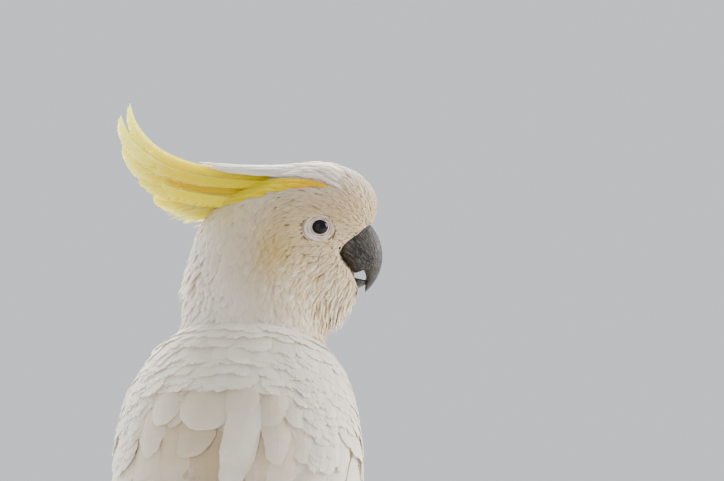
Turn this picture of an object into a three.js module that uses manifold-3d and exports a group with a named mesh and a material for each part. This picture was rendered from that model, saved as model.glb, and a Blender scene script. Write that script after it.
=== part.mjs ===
// A sulphur-crested cockatoo, Cacatua galerita, adult male, life size, standing on a floor.
// It looks back over its right shoulder: the body faces +Y, and the head is turned towards +X.
// Millimetres, +Z up. The origin is under the middle of the model's box, on the floor.
//
// The plumage is a smooth blend of ellipsoid masses. Rays from a spine inside the bird find its
// surface, so that head, neck and trunk are one closed skin of rings before thin cuts part them.

import * as THREE from "three";
import { mergeVertices } from "three/addons/utils/BufferGeometryUtils.js";
import Module from "manifold-3d";

const wasm = await Module();
wasm.setup();
const DEG = Math.PI / 180;
const GAP = 0.35; // clearance between neighbouring solids

// ---------------------------------------------------------------- driving dimensions
const HEAD_TURN = 13 * DEG; // the head looks along +X, turned this far towards +Y
const SKULL = new THREE.Vector3(21.7, 42, 290.6); // middle of the head
const FLOOR = 0;

const SPINE = [
  // from the middle of the head down to the root of the tail
  [17.5, 41, 284.5],
  [9, 36, 252],
  [4.3, 30, 226],
  [0, 8, 180],
  [2, -20, 134],
  [1, -47, 100],
  [0, -74, 80],
];
const BLEND = 7; // how softly neighbouring masses run together

// Ellipsoids of the head: centre and radii along forward, left and up.
const HEAD_MASSES = [
  { name: "cranium", at: [-6, 0, -1], radii: [40, 24, 26] },
  { name: "forehead", at: [34, 0, 13.5], radii: [23.5, 17, 21.5] },
  { name: "crown", at: [15, 0, 21], radii: [26, 13, 16.5] },
  { name: "occiput", at: [-29, 0, -20], radii: [28, 29, 31] },
  { name: "cheek_left", at: [15, 11, -36], radii: [28, 17, 22] },
  { name: "cheek_right", at: [15, -11, -36], radii: [28, 17, 22] },
  { name: "ruff", at: [-21, 0, -42], radii: [36, 34, 30] },
  { name: "gape", at: [33.5, 0, -25], radii: [8.5, 12, 9.5] },
];
// Ellipsoids of the body: centre, radii across, back to front and along, and the slope of the last.
const BODY_MASSES = [
  { name: "nape", at: [6, 28, 236], radii: [42, 38, 44], slope: 74 },
  { name: "shoulders", at: [1, 10, 186], radii: [56, 42, 42], slope: 62 },
  { name: "breast", at: [2, 34, 172], radii: [50, 40, 52], slope: 70 },
  { name: "back", at: [4, -14, 140], radii: [62, 44, 58], slope: 58 },
  { name: "belly", at: [3, 4, 118], radii: [50, 44, 50], slope: 50 },
  { name: "rump", at: [0, -58, 88], radii: [32, 21, 42], slope: 34 },
];
// The mantle's feathers fill the hollow between the folded wings.
const MANTLE_MASSES = [
  { name: "mantle", at: [0.4, -25.5, 187.4], radii: [46, 18, 43], slope: 44 },
  { name: "lower_mantle", at: [2.9, -30.4, 153], radii: [72, 27, 90], slope: 54 },
];

// The folded wings lie on a tube round the body: its middle, its reach across and to the back,
// the wing's lower and upper edges as angles up from the side, and the wing's thickness.
const WING_STATIONS = [
  { at: [4, 26, 214], across: 49, back: 44, low: -4, high: 20, thick: 3 },
  { at: [2.5, 18, 200], across: 64, back: 50, low: -24, high: 46, thick: 12 },
  { at: [2, 8, 180], across: 74, back: 54, low: -34, high: 68, thick: 16 },
  { at: [4, -8, 155], across: 79.5, back: 56, low: -38, high: 80, thick: 17 },
  { at: [5.5, -22, 132], across: 80.5, back: 54, low: -36, high: 86, thick: 16 },
  { at: [4, -42, 110], across: 75, back: 45, low: -30, high: 87, thick: 14 },
  { at: [2, -72, 95], across: 61, back: 32, low: -20, high: 87, thick: 10 },
  { at: [0, -112, 79], across: 44, back: 23, low: -8, high: 87, thick: 7 },
  { at: [0, -160, 58], across: 29, back: 17, low: 4, high: 86, thick: 4 },
  { at: [0, -208, 37], across: 18, back: 12, low: 20, high: 80, thick: 1.8 },
  { at: [0, -222, 31], across: 15, back: 10, low: 40, high: 66, thick: 1 },
];
const PRIMARIES_FROM = -104; // the long wing tips start behind this y

const BILL_ARC = { centre: [32, -19], radius: 29.2, from: 66, seen: 46, to: -50.5 }; // ridge of the bill
const BILL_EDGE = [
  // cutting edge of the upper bill, hinge to hook: forward, up
  [25, -9],
  [31.5, -15],
  [36, -20.5],
  [40.5, -26.2],
  [44, -29],
  [47.2, -28.4],
  [49.6, -27.6],
  [51.2, -31],
  [50.8, -36],
  [50.6, -41.2],
];
const BILL_HALF_WIDTH = 10.5;
const GAPE = [33.6, -16]; // hind corner of the bill that shows, before the face feathers hide it

const EYE = { at: [22.3, 17.6, 0.6], radius: 6.3 }; // forward, out to the side, up
const TAIL = { root: [1, -62, 88], length: 206, slope: 23.6, fan: 0.9, width: 24, pairs: 4, thick: 2.2 };
const FOOT_SPREAD = 27; // from the middle plane to each foot
const SHANK_TOP = 34; // height where the shank comes out of the thigh feathers
const ANKLE = 11; // height where the shank meets the foot
const FOOT_Y = -12;
const TOES = [
  // name, direction from straight ahead (outwards is positive), length without the claw, girth
  { name: "inner_front", turn: -14, length: 27, girth: 8.2, claw: 12 },
  { name: "outer_front", turn: 20, length: 38, girth: 8.8, claw: 14 },
  { name: "outer_back", turn: 152, length: 36, girth: 8.6, claw: 13 },
  { name: "inner_back", turn: -166, length: 22, girth: 7.6, claw: 10 },
];

// ---------------------------------------------------------------- colours
const finish = (color, roughness) => new THREE.MeshStandardMaterial({ color, roughness, metalness: 0 });
const WHITE = finish(0xf1ede6, 0.85);
const YELLOW = finish(0xf0d45a, 0.8);
const BILL_GREY = finish(0x3a3836, 0.5);
const EYE_BLACK = finish(0x0b0b0d, 0.08);
const SKIN_GREY = finish(0x4a484a, 0.7);
const CLAW_BLACK = finish(0x232122, 0.4);

// ---------------------------------------------------------------- solids and surfaces
function solidOf(geometry) {
  const bare = geometry.clone();
  for (const name of ["normal", "uv"]) bare.deleteAttribute(name);
  const merged = mergeVertices(bare, 1e-3);
  return new wasm.Manifold(
    new wasm.Mesh({
      numProp: 3,
      vertProperties: new Float32Array(merged.attributes.position.array),
      triVerts: new Uint32Array(merged.index.array),
    }),
  );
}

function geometryOf(solid) {
  const mesh = solid.getMesh();
  return new THREE.BufferGeometry()
    .setAttribute("position", new THREE.BufferAttribute(mesh.vertProperties, 3))
    .setIndex(new THREE.BufferAttribute(mesh.triVerts, 1));
}

// The largest body of a cut, without the crumbs that a cut can leave.
function largest(solid) {
  return solid.decompose().sort((a, b) => b.volume() - a.volume())[0];
}

// A closed skin over rings of points, each ring the same way round, with a point at each end.
function closedLoft(rings, start, end) {
  const count = rings[0].length;
  const positions = [...rings.flat(), start, end].flatMap((p) => [p.x, p.y, p.z]);
  const faces = [];
  const at = (ring, k) => ring * count + (k % count);
  const first = rings.length * count;
  for (let k = 0; k < count; k++) {
    faces.push(first, at(0, k), at(0, k + 1));
    faces.push(first + 1, at(rings.length - 1, k + 1), at(rings.length - 1, k));
  }
  for (let ring = 0; ring + 1 < rings.length; ring++)
    for (let k = 0; k < count; k++) {
      faces.push(at(ring, k), at(ring + 1, k), at(ring + 1, k + 1));
      faces.push(at(ring, k), at(ring + 1, k + 1), at(ring, k + 1));
    }
  const geometry = new THREE.BufferGeometry()
    .setAttribute("position", new THREE.Float32BufferAttribute(positions, 3))
    .setIndex(faces);
  const solid = solidOf(geometry);
  if (solid.volume() > 0) return solid;
  for (let i = 0; i < faces.length; i += 3) [faces[i], faces[i + 1]] = [faces[i + 1], faces[i]];
  return solidOf(geometry.setIndex(faces));
}

// A cylinder-like body along a curve, its half-widths given along a side direction and across it.
function limb(points, halfWidths, side, around, steps) {
  const curve = new THREE.CatmullRomCurve3(points.map((p) => new THREE.Vector3(...p)), false, "centripetal");
  const rings = [];
  for (let i = 0; i <= steps; i++) {
    const t = i / steps;
    const middle = curve.getPoint(t);
    const along = curve.getTangent(t);
    const across = new THREE.Vector3(...side).addScaledVector(along, -along.dot(new THREE.Vector3(...side)));
    across.normalize();
    const other = along.clone().cross(across);
    const [wide, deep] = halfWidths(t);
    rings.push(
      Array.from({ length: around }, (_, k) => {
        const angle = (2 * Math.PI * k) / around;
        return middle
          .clone()
          .addScaledVector(across, wide * Math.cos(angle))
          .addScaledVector(other, deep * Math.sin(angle));
      }),
    );
  }
  return closedLoft(rings, curve.getPoint(0), curve.getPoint(1));
}

// A value between the values at evenly spaced stops, with no overshoot.
function between(stops, t) {
  const x = Math.min(Math.max(t, 0), 1) * (stops.length - 1);
  const i = Math.min(Math.floor(x), stops.length - 2);
  return stops[i] + (stops[i + 1] - stops[i]) * (x - i);
}

const headPoint = (forward, left, up) =>
  new THREE.Vector3(forward, left, up).applyAxisAngle(new THREE.Vector3(0, 0, 1), HEAD_TURN).add(SKULL);

// ---------------------------------------------------------------- head, neck and trunk
const leaning = ({ at, radii, slope }) => ({
  centre: new THREE.Vector3(...at),
  radii,
  axes: [
    new THREE.Vector3(1, 0, 0),
    new THREE.Vector3(0, -Math.sin(slope * DEG), Math.cos(slope * DEG)),
    new THREE.Vector3(0, Math.cos(slope * DEG), Math.sin(slope * DEG)),
  ],
});
const masses = [
  ...HEAD_MASSES.map(({ at, radii }) => ({
    centre: headPoint(...at),
    radii,
    axes: [
      new THREE.Vector3(Math.cos(HEAD_TURN), Math.sin(HEAD_TURN), 0),
      new THREE.Vector3(-Math.sin(HEAD_TURN), Math.cos(HEAD_TURN), 0),
      new THREE.Vector3(0, 0, 1),
    ],
  })),
  ...BODY_MASSES.map(leaning),
];
const withMantle = [...masses, ...MANTLE_MASSES.map(leaning)];

// About how far a point is outside the blended masses, negative inside.
function outside(point, among) {
  let sum = 0;
  for (const { centre, radii, axes } of among) {
    const offset = point.clone().sub(centre);
    const scaled = axes.map((axis, i) => offset.dot(axis) / radii[i]);
    const near = Math.hypot(...scaled);
    const slope = Math.hypot(...scaled.map((value, i) => value / radii[i]));
    const distance = near < 1e-6 ? -Math.min(...radii) : (near * (near - 1)) / slope;
    sum += Math.exp(-distance / BLEND);
  }
  return -BLEND * Math.log(sum);
}

// The first place along a ray where the point is `level` outside the masses.
function reach(origin, direction, level, among) {
  const probe = (t) => outside(origin.clone().addScaledVector(direction, t), among) - level;
  const step = 2;
  let t = step;
  while (probe(t) < 0 && t < 200) t += step;
  let low = t - step;
  for (let i = 0; i < 24; i++) {
    const middle = (low + t) / 2;
    if (probe(middle) < 0) low = middle;
    else t = middle;
  }
  return origin.clone().addScaledVector(direction, t);
}

// Rings over the crown, down the spine and round the rump. `level` makes the skin that much larger.
function bodySkin(level, among = masses, around = 24) {
  const curve = new THREE.CatmullRomCurve3(SPINE.map((p) => new THREE.Vector3(...p)), false, "centripetal");
  const stations = [];
  const crownSteps = 6;
  const spineSteps = 15;
  const rumpSteps = 3;
  for (let i = 1; i < crownSteps; i++) stations.push({ t: 0, lift: 90 - (90 * i) / crownSteps });
  for (let i = 0; i <= spineSteps; i++) stations.push({ t: i / spineSteps, lift: 0 });
  for (let i = 1; i < rumpSteps; i++) stations.push({ t: 1, lift: (-90 * i) / rumpSteps });
  const frameAt = (t) => {
    const up = curve.getTangent(t).negate();
    if (t === 0) up.set(0, 0, 1);
    const across = new THREE.Vector3(1, 0, 0).addScaledVector(up, -up.x).normalize();
    return { up, across, back: across.clone().cross(up).negate() };
  };
  const rings = stations.map(({ t, lift }) => {
    const { up, across, back } = frameAt(t);
    return Array.from({ length: around }, (_, k) => {
      const angle = (2 * Math.PI * k) / around;
      const direction = across.clone().multiplyScalar(Math.cos(angle)).addScaledVector(back, Math.sin(angle));
      direction.multiplyScalar(Math.cos(lift * DEG)).addScaledVector(up, Math.sin(lift * DEG));
      return reach(curve.getPoint(t), direction, level, among);
    });
  });
  const top = reach(curve.getPoint(0), frameAt(0).up, level, among);
  const end = reach(curve.getPoint(1), frameAt(1).up.negate(), level, among);
  return closedLoft(rings, top, end);
}

// A slab through a point, for thin cuts and for keeping one side of a plane.
function slab(point, normal, thickness, size = 700) {
  const geometry = new THREE.BoxGeometry(size, size, thickness);
  geometry.applyQuaternion(
    new THREE.Quaternion().setFromUnitVectors(
      new THREE.Vector3(0, 0, 1),
      new THREE.Vector3(...normal).normalize(),
    ),
  );
  return solidOf(geometry.translate(...point));
}

// The part of a solid on the side of a plane that its normal points to.
function sideOf(solid, point, normal) {
  const deep = 700;
  const direction = new THREE.Vector3(...normal).normalize();
  const middle = new THREE.Vector3(...point).addScaledVector(direction, deep / 2 + GAP / 2);
  return solid.intersect(slab(middle.toArray(), normal, deep));
}

const body = bodySkin(0);
const bodyWithRoom = bodySkin(GAP);
const mantled = bodySkin(-0.8, withMantle, 12);
const mantledWithRoom = bodySkin(GAP - 0.8, withMantle, 12).add(bodyWithRoom);

// ---------------------------------------------------------------- wings
// A point of the tube that the folded wings lie on, `sink` below its outer face.
function wingPoint(station, angle, sink, side) {
  const { middle, backward, across, back } = station;
  return middle
    .clone()
    .add(new THREE.Vector3(side * (across - sink) * Math.cos(angle), 0, 0))
    .addScaledVector(backward, (back - sink) * Math.sin(angle));
}

function wingStations(steps) {
  const curve = new THREE.CatmullRomCurve3(
    WING_STATIONS.map(({ at }) => new THREE.Vector3(...at)),
    false,
    "centripetal",
  );
  return Array.from({ length: steps + 1 }, (_, i) => {
    const t = i / steps;
    const along = curve.getTangent(t);
    const value = (key) => between(WING_STATIONS.map((station) => station[key]), t);
    return {
      middle: curve.getPoint(t),
      backward: new THREE.Vector3(1, 0, 0).cross(along).negate(),
      across: value("across"),
      back: value("back"),
      low: value("low") * DEG,
      high: value("high") * DEG,
      thick: value("thick"),
    };
  });
}

function wing(side, grow = 0) {
  const outer = 9;
  const rings = wingStations(16).map((station) => {
    const { low, high } = station;
    const across = station.across + grow;
    const back = station.back + grow;
    const thick = station.thick + 2 * grow;
    const wide = (2 * grow) / (across + back);
    const tube = { ...station, across, back };
    const angleAt = (share) => low - wide + (high - low + 2 * wide) * share;
    const full = Array.from({ length: outer }, (_, k) => {
      const share = k / (outer - 1);
      return wingPoint(tube, angleAt(share), 0.35 * thick * (2 * share - 1) ** 8, side);
    });
    const inner = Array.from({ length: outer - 4 }, (_, k) => {
      const share = 1 - k / (outer - 5);
      return wingPoint(tube, angleAt(share), thick, side);
    });
    return [...full, ...inner];
  });
  const middleOf = (ring) =>
    ring.reduce((sum, p) => sum.add(p), new THREE.Vector3()).divideScalar(ring.length);
  return closedLoft(rings, middleOf(rings[0]), middleOf(rings[rings.length - 1]));
}

// ---------------------------------------------------------------- bill
// Upper bill: sections between its ridge and its cutting edge, `grow` larger all round. With `widen`
// it is the room in front of the face feathers, which starts where the bill comes out of them.
function upperBill(grow, widen = 1, steps = 14, around = 10) {
  const edgePoints = widen > 1 ? [GAPE, ...BILL_EDGE.slice(2)] : BILL_EDGE;
  const edgeStops = edgePoints.map(([f, u]) => new THREE.Vector3(f, 0, u));
  const edge = new THREE.CatmullRomCurve3(edgeStops, false, "centripetal");
  const from = widen > 1 ? BILL_ARC.seen : BILL_ARC.from;
  const ridge = (t) => {
    const angle = (from + (BILL_ARC.to - from) * t) * DEG;
    return new THREE.Vector3(
      BILL_ARC.centre[0] + BILL_ARC.radius * Math.cos(angle),
      0,
      BILL_ARC.centre[1] + BILL_ARC.radius * Math.sin(angle),
    );
  };
  const rings = [];
  for (let i = 0; i < steps; i++) {
    const t = i / steps;
    const top = ridge(t);
    const low = edge.getPoint(t);
    const middle = top.clone().add(low).divideScalar(2);
    const half = top.clone().sub(middle);
    half.setLength(half.length() + grow);
    const wide = widen * BILL_HALF_WIDTH * Math.sqrt(Math.max(0, 1 - t ** 2.2)) * (1 - 0.25 * t) + grow;
    rings.push(
      Array.from({ length: around }, (_, k) => {
        const angle = (2 * Math.PI * k) / around;
        const shape = Math.sin(angle) * (1 - 0.28 * Math.cos(angle));
        const p = middle.clone().addScaledVector(half, Math.cos(angle));
        return headPoint(p.x, wide * shape, p.z);
      }),
    );
  }
  const tip = edge.getPoint(1);
  const rootMiddle = ridge(0).add(edge.getPoint(0)).divideScalar(2);
  return closedLoft(rings, headPoint(rootMiddle.x, 0, rootMiddle.z), headPoint(tip.x, 0, tip.z - grow));
}

// Lower bill: a short scoop with a broad edge, from inside the chin feathers to behind the hook.
function lowerBill(grow) {
  const path = [
    [20, 0, -34],
    [34, 0, -35.4],
    [43, 0, -35.2],
    [48.6, 0, -34.7],
    [51.4, 0, -34.1],
  ];
  return limb(
    path.map((p) => headPoint(...p).toArray()),
    (t) => [between([9, 8.6, 8, 6.6, 3.6], t) + grow, between([5, 5, 4.8, 2.9, 1.5], t) + grow],
    leftward,
    10,
    6,
  );
}

// ---------------------------------------------------------------- crest
// Plumes: each shaft's path from the crown back to the tip, as forward and up, its drift to the
// left, and the depth of its vane.
const PLUMES = [
  {
    shaft: [[8, 33], [-15, 34.5], [-40, 35], [-62, 38.5], [-78, 44.5], [-88, 53], [-95, 64], [-99, 78.5]],
    drift: 2, deep: 9,
  },
  {
    shaft: [[6, 30], [-16, 30], [-42, 31], [-66, 35], [-82, 42], [-94, 53], [-101, 63], [-104.5, 71.5]],
    drift: -3, deep: 9,
  },
  {
    shaft: [[4, 27], [-18, 26], [-44, 27], [-68, 31], [-86, 38], [-97, 46], [-103, 54]],
    drift: 3.5, deep: 11,
  },
  { shaft: [[0, 24], [-20, 22], [-46, 22], [-70, 25], [-84, 28], [-93.5, 31.5]], drift: -4.5, deep: 9 },
  { shaft: [[-4, 22], [-24, 18.5], [-46, 17], [-66, 17.5], [-78, 18.5], [-84, 21]], drift: 4.5, deep: 8 },
  { shaft: [[-10, 20], [-28, 14.5], [-46, 10], [-58, 8.5], [-66, 8.8]], drift: 0, deep: 7 },
];
const HOOD = [[28, 31], [14, 34.5], [-4, 36.5], [-26, 36.5], [-44, 37.2], [-52, 38]];
const leftward = [-Math.sin(HEAD_TURN), Math.cos(HEAD_TURN), 0];

function plume({ shaft, drift, deep }) {
  const points = shaft.map(([f, u]) => headPoint(f, drift, u).toArray());
  const wide = (t) => between([4, 5.6, 6.2, 5.4, 3.6, 1], t);
  const tall = (t) => deep * between([0.4, 0.5, 0.56, 0.56, 0.46, 0.16], t);
  return limb(points, (t) => [wide(t), tall(t)], leftward, 6, 7);
}

function crest() {
  return PLUMES.map(plume).reduce((sum, part) => sum.add(part));
}

function hood(grow) {
  return limb(
    HOOD.map(([f, u]) => headPoint(f, 0, u).toArray()),
    (t) => [between([8, 8.5, 8, 7.4, 6, 1.6], t) + grow, between([5, 5, 3.6, 3, 2.2, 0.8], t) + grow],
    leftward,
    12,
    9,
  );
}

// ---------------------------------------------------------------- tail
// One tail feather: a long rounded blade, flat, its root at the origin and its tip along -Y.
function tailFeather(length, width, thickness) {
  const outline = new THREE.Shape();
  outline.moveTo(-0.26 * width, 0);
  outline.quadraticCurveTo(-0.56 * width, -0.5 * length, -0.5 * width, -0.9 * length);
  outline.quadraticCurveTo(-0.44 * width, -0.995 * length, 0, -length);
  outline.quadraticCurveTo(0.44 * width, -0.995 * length, 0.5 * width, -0.9 * length);
  outline.quadraticCurveTo(0.56 * width, -0.5 * length, 0.26 * width, 0);
  outline.closePath();
  return new THREE.ExtrudeGeometry(outline, { depth: thickness, bevelEnabled: false, curveSegments: 3 });
}

function tail(grow) {
  const { root, length, slope, fan, width, pairs, thick } = TAIL;
  const feathers = [];
  for (let i = -pairs; i <= pairs; i++) {
    const out = Math.abs(i) / pairs;
    const blade = tailFeather(length * (1 - 0.07 * out ** 2) + grow, width + 2 * grow, thick + 2 * grow);
    blade.rotateZ(i * fan * DEG);
    blade.translate(i * 3.4, 0, -1.1 * Math.abs(i) - grow);
    blade.rotateX(slope * DEG);
    feathers.push(solidOf(blade.translate(...root)));
  }
  return feathers.reduce((sum, part) => sum.add(part));
}

// ---------------------------------------------------------------- legs
const across = [1, 0, 0];

function thigh(side) {
  const x = side * FOOT_SPREAD;
  const points = [
    [x * 1.05, FOOT_Y + 22, 104],
    [x * 1.08, FOOT_Y + 12, 82],
    [x * 1.04, FOOT_Y - 4, 56],
    [x, FOOT_Y - 10, 40],
    [x, FOOT_Y - 10.5, SHANK_TOP - 1],
  ];
  const half = (t) => [between([20, 23, 18, 10.5, 5.8], t), between([22, 26, 21, 12, 6], t)];
  return limb(points, half, across, 12, 8);
}

function shank(side) {
  const x = side * FOOT_SPREAD;
  const points = [
    [x, FOOT_Y - 10.5, SHANK_TOP + 1],
    [x, FOOT_Y - 8, 24],
    [x, FOOT_Y - 3, 13],
    [x, FOOT_Y + 1, 3],
  ];
  const half = (t) => [between([4.8, 4.9, 5.6, 6.4], t), between([4.8, 5.2, 6, 6.4], t)];
  return limb(points, half, across, 10, 5);
}

// Where a toe goes: points out along the floor from the ball of the foot.
function toePath(side, turn) {
  const angle = side * turn * DEG;
  const way = new THREE.Vector3(Math.sin(angle), Math.cos(angle), 0);
  const start = new THREE.Vector3(side * FOOT_SPREAD, FOOT_Y, 0);
  const at = (reachOut, height) => start.clone().addScaledVector(way, reachOut).setZ(height);
  return { way, at, sideways: [way.y, -way.x, 0] };
}

function toe(side, { turn, length, girth }) {
  const { way, at, sideways } = toePath(side, turn);
  const points = [at(-2, 3.8), at(0.3 * length, 3.1), at(0.62 * length, 2.8), at(length + 1, 2.4)];
  const half = (t) => (girth / 2) * between([1, 1, 0.86, 0.98, 0.82, 0.9, 0.66], t);
  const solid = limb(points.map((p) => p.toArray()), (t) => [half(t), half(t) * 0.95], sideways, 7, 5);
  return sideOf(solid, at(length - GAP / 2, 0).toArray(), way.clone().negate().toArray());
}

function claw(side, { turn, length, claw: far }) {
  const { way, at, sideways } = toePath(side, turn);
  const path = [[-2, 2.8], [0.3 * far, 5], [0.72 * far, 4.2], [far, 0.9]];
  const points = path.map(([past, high]) => at(length + past, high));
  const half = (t) => between([2.4, 2.3, 1.7, 1, 0.3], t);
  const solid = limb(points.map((p) => p.toArray()), (t) => [half(t) * 0.85, half(t)], sideways, 6, 5);
  return sideOf(solid, at(length, 0).toArray(), way.toArray());
}

// ---------------------------------------------------------------- assembly
const cockatoo = new THREE.Group();

function addPart(name, solid, material) {
  const mesh = new THREE.Mesh(geometryOf(solid), material);
  mesh.name = name;
  cockatoo.add(mesh);
}

const COLLAR = { point: [4, 30, 238], normal: [0.3, 0.05, 1] }; // between head and neck
const NECK_ROOT = { point: [0, 20, 206], normal: [0, 0.45, 1] }; // between neck and trunk

const billTop = upperBill(0);
const billLow = largest(lowerBill(0).subtract(upperBill(GAP)));
const sides = { left: -1, right: 1 };
const ball = (radius, at) => solidOf(new THREE.SphereGeometry(radius, 12, 8).translate(at.x, at.y, at.z));
const eyeAt = (side) => headPoint(EYE.at[0], -side * EYE.at[1], EYE.at[2]);

let head = sideOf(body, COLLAR.point, COLLAR.normal);
head = head.subtract(upperBill(GAP)).subtract(upperBill(0, 2.6)).subtract(lowerBill(GAP));
for (const side of Object.values(sides)) head = head.subtract(ball(EYE.radius + GAP, eyeAt(side)));
addPart("head", largest(head), WHITE);

const hollow = mantled.subtract(wing(-1, 2.2)).subtract(wing(1, 2.2)).subtract(tail(GAP));
const below = sideOf(body.add(hollow), COLLAR.point, COLLAR.normal.map((n) => -n));
addPart("neck", largest(sideOf(below, NECK_ROOT.point, NECK_ROOT.normal)), WHITE);
const trunk = largest(sideOf(below, NECK_ROOT.point, NECK_ROOT.normal.map((n) => -n)));
addPart("trunk", trunk.simplify(0.15), WHITE);

addPart("bill_upper", billTop, BILL_GREY);
addPart("bill_lower", billLow, BILL_GREY);
for (const [name, side] of Object.entries(sides))
  addPart(`eye_${name}`, ball(EYE.radius, eyeAt(side)), EYE_BLACK);

addPart("crest_hood", largest(hood(0).subtract(bodyWithRoom)), WHITE);
addPart("crest", largest(crest().subtract(bodyWithRoom).subtract(hood(GAP))), YELLOW);

const floorFlat = (solid) => sideOf(solid, [0, 0, FLOOR - GAP / 2], [0, 0, 1]);
addPart("tail", largest(floorFlat(tail(0)).subtract(bodyWithRoom)), WHITE);

for (const [name, side] of Object.entries(sides)) {
  const half = sideOf(wing(side), [0, 0, 0], [side, 0, 0]);
  const folded = half.subtract(bodyWithRoom).subtract(tail(GAP));
  addPart(`wing_${name}`, largest(sideOf(folded, [0, PRIMARIES_FROM, 0], [0, 1, 0.3])), WHITE);
  addPart(`primaries_${name}`, largest(sideOf(folded, [0, PRIMARIES_FROM, 0], [0, -1, -0.3])), WHITE);

  const leg = TOES.map((entry) => toe(side, entry)).reduce((sum, part) => sum.add(part), shank(side));
  const shankSolid = sideOf(sideOf(leg, [0, 0, ANKLE], [0, 0, 1]), [0, 0, SHANK_TOP], [0, 0, -1]);
  const feathered = sideOf(thigh(side), [0, 0, SHANK_TOP], [0, 0, 1]);
  addPart(`thigh_${name}`, largest(feathered.subtract(mantledWithRoom).subtract(wing(side, GAP))), WHITE);
  addPart(`shank_${name}`, largest(shankSolid), SKIN_GREY);
  const foot = largest(floorFlat(sideOf(leg, [0, 0, ANKLE], [0, 0, -1])));
  addPart(`foot_${name}`, foot.simplify(0.1), SKIN_GREY);
  for (const entry of TOES) addPart(`claw_${name}_${entry.name}`, claw(side, entry), CLAW_BLACK);
}

// The origin goes under the middle of the model's box.
const box = new THREE.Box3().setFromObject(cockatoo);
cockatoo.position.set(-(box.min.x + box.max.x) / 2, -(box.min.y + box.max.y) / 2, 0);

export default cockatoo;
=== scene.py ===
# %% [markdown]
# # A sulphur-crested cockatoo, looking over its shoulder
# A bird's looks are made in layers, as the bird itself is. Under everything lies one skin, which is nearly
# all hidden. Over it lie the feathers, in rows that overlap like roof tiles, each row covering the roots of
# the next one down. Only the bill, the eyes with their bare rings, and the scaly legs and feet are not
# feathered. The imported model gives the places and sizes, so the scene starts by loading it.

import math

import bpy
import numpy as np
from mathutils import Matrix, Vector
from mathutils.kdtree import KDTree


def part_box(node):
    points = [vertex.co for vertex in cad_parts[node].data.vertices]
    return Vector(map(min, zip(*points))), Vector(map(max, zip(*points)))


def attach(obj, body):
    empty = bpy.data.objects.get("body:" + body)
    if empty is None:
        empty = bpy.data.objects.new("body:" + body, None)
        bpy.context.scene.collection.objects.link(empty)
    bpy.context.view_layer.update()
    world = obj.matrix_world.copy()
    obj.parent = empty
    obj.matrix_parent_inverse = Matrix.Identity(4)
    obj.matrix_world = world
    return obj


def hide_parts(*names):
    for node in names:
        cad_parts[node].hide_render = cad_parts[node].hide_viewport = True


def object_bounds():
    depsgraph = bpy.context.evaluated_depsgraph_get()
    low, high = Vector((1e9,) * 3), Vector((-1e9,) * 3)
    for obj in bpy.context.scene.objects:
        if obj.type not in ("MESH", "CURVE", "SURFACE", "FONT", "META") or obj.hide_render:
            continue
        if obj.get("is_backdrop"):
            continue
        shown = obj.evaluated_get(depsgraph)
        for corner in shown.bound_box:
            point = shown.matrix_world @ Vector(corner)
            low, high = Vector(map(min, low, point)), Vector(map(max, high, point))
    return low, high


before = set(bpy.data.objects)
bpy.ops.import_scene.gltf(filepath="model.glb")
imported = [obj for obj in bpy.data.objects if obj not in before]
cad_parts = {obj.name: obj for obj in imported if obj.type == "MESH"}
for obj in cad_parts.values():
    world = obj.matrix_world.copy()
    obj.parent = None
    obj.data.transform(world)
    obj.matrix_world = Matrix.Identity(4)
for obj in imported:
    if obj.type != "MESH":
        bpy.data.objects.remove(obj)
cad_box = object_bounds()
MM = 0.001  # this script counts in millimetres, and meshes are stored in metres
rng = np.random.default_rng(20)
print("nodes:", len(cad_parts), "box (m):", [tuple(round(x, 3) for x in corner) for corner in cad_box])

# %% [markdown]
# ## Where the head is
# The two eyes are the best landmarks of a head: the line between them points to the bird's left, and the
# head's forward direction is square to that line and to the vertical. Every size below is given along
# forward, left and up from the middle of the skull, or from the same origin as the body.

# %% The head's own axes
def node_middle(name):
    """Middle of a CAD node's box, in mm."""
    low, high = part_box(name)
    return (np.array(low) + np.array(high)) / 2 / MM


EYE_FORWARD, EYE_UP, EYE_OUT = 22.3, 0.6, 17.6  # eyeball's middle, from the middle of the skull
EYE_RADIUS = (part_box("eye_right")[1].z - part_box("eye_right")[0].z) / 2 / MM
eye_left, eye_right = node_middle("eye_left"), node_middle("eye_right")
LEFT = (eye_left - eye_right) / np.linalg.norm(eye_left - eye_right)
UP = np.array([0.0, 0.0, 1.0])
FORWARD = np.cross(LEFT, UP)
SKULL = (eye_left + eye_right) / 2 - EYE_FORWARD * FORWARD - EYE_UP * UP
ORIGIN = SKULL - np.array([21.7, 42, 290.6])  # where the body's own measures start
HEAD_AXES = np.stack([FORWARD, LEFT, UP])
turned = math.degrees(math.atan2(FORWARD[1], FORWARD[0]))
print("head turned", round(turned, 1), "degrees; skull at", SKULL.round(1))


def head_point(forward, left, up):
    """Places given along the head's own axes, as places in the model, in mm."""
    given = np.stack(np.broadcast_arrays(forward, left, up), axis=-1).astype(float)
    return SKULL + given @ HEAD_AXES


def on_head(points):
    """The other way round: how far forward, left and up from the skull's middle each place lies."""
    return (points - SKULL) @ HEAD_AXES.T


def round_patch(forward, up, middle, size):
    """1 in the middle of an oval seen from the side, falling as exp(-(distance/size) squared)."""
    return np.exp(-(((forward - middle[0]) / size[0]) ** 2) - (((up - middle[1]) / size[1]) ** 2))


# %% [markdown]
# ## The body as a smooth blend of masses
# An animal's trunk, neck and head are rounded masses that run into each other. Each mass is an ellipsoid,
# and a soft minimum of their distances joins them, so a single formula says how far any point is outside
# the plumage. Skin is a surface some millimetres inside that zero level, and feathers follow the levels
# between the skin and zero. Metaballs or a sculpted mesh would also do, but a formula can be asked about
# millions of points at once, which the feathers need.

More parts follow.
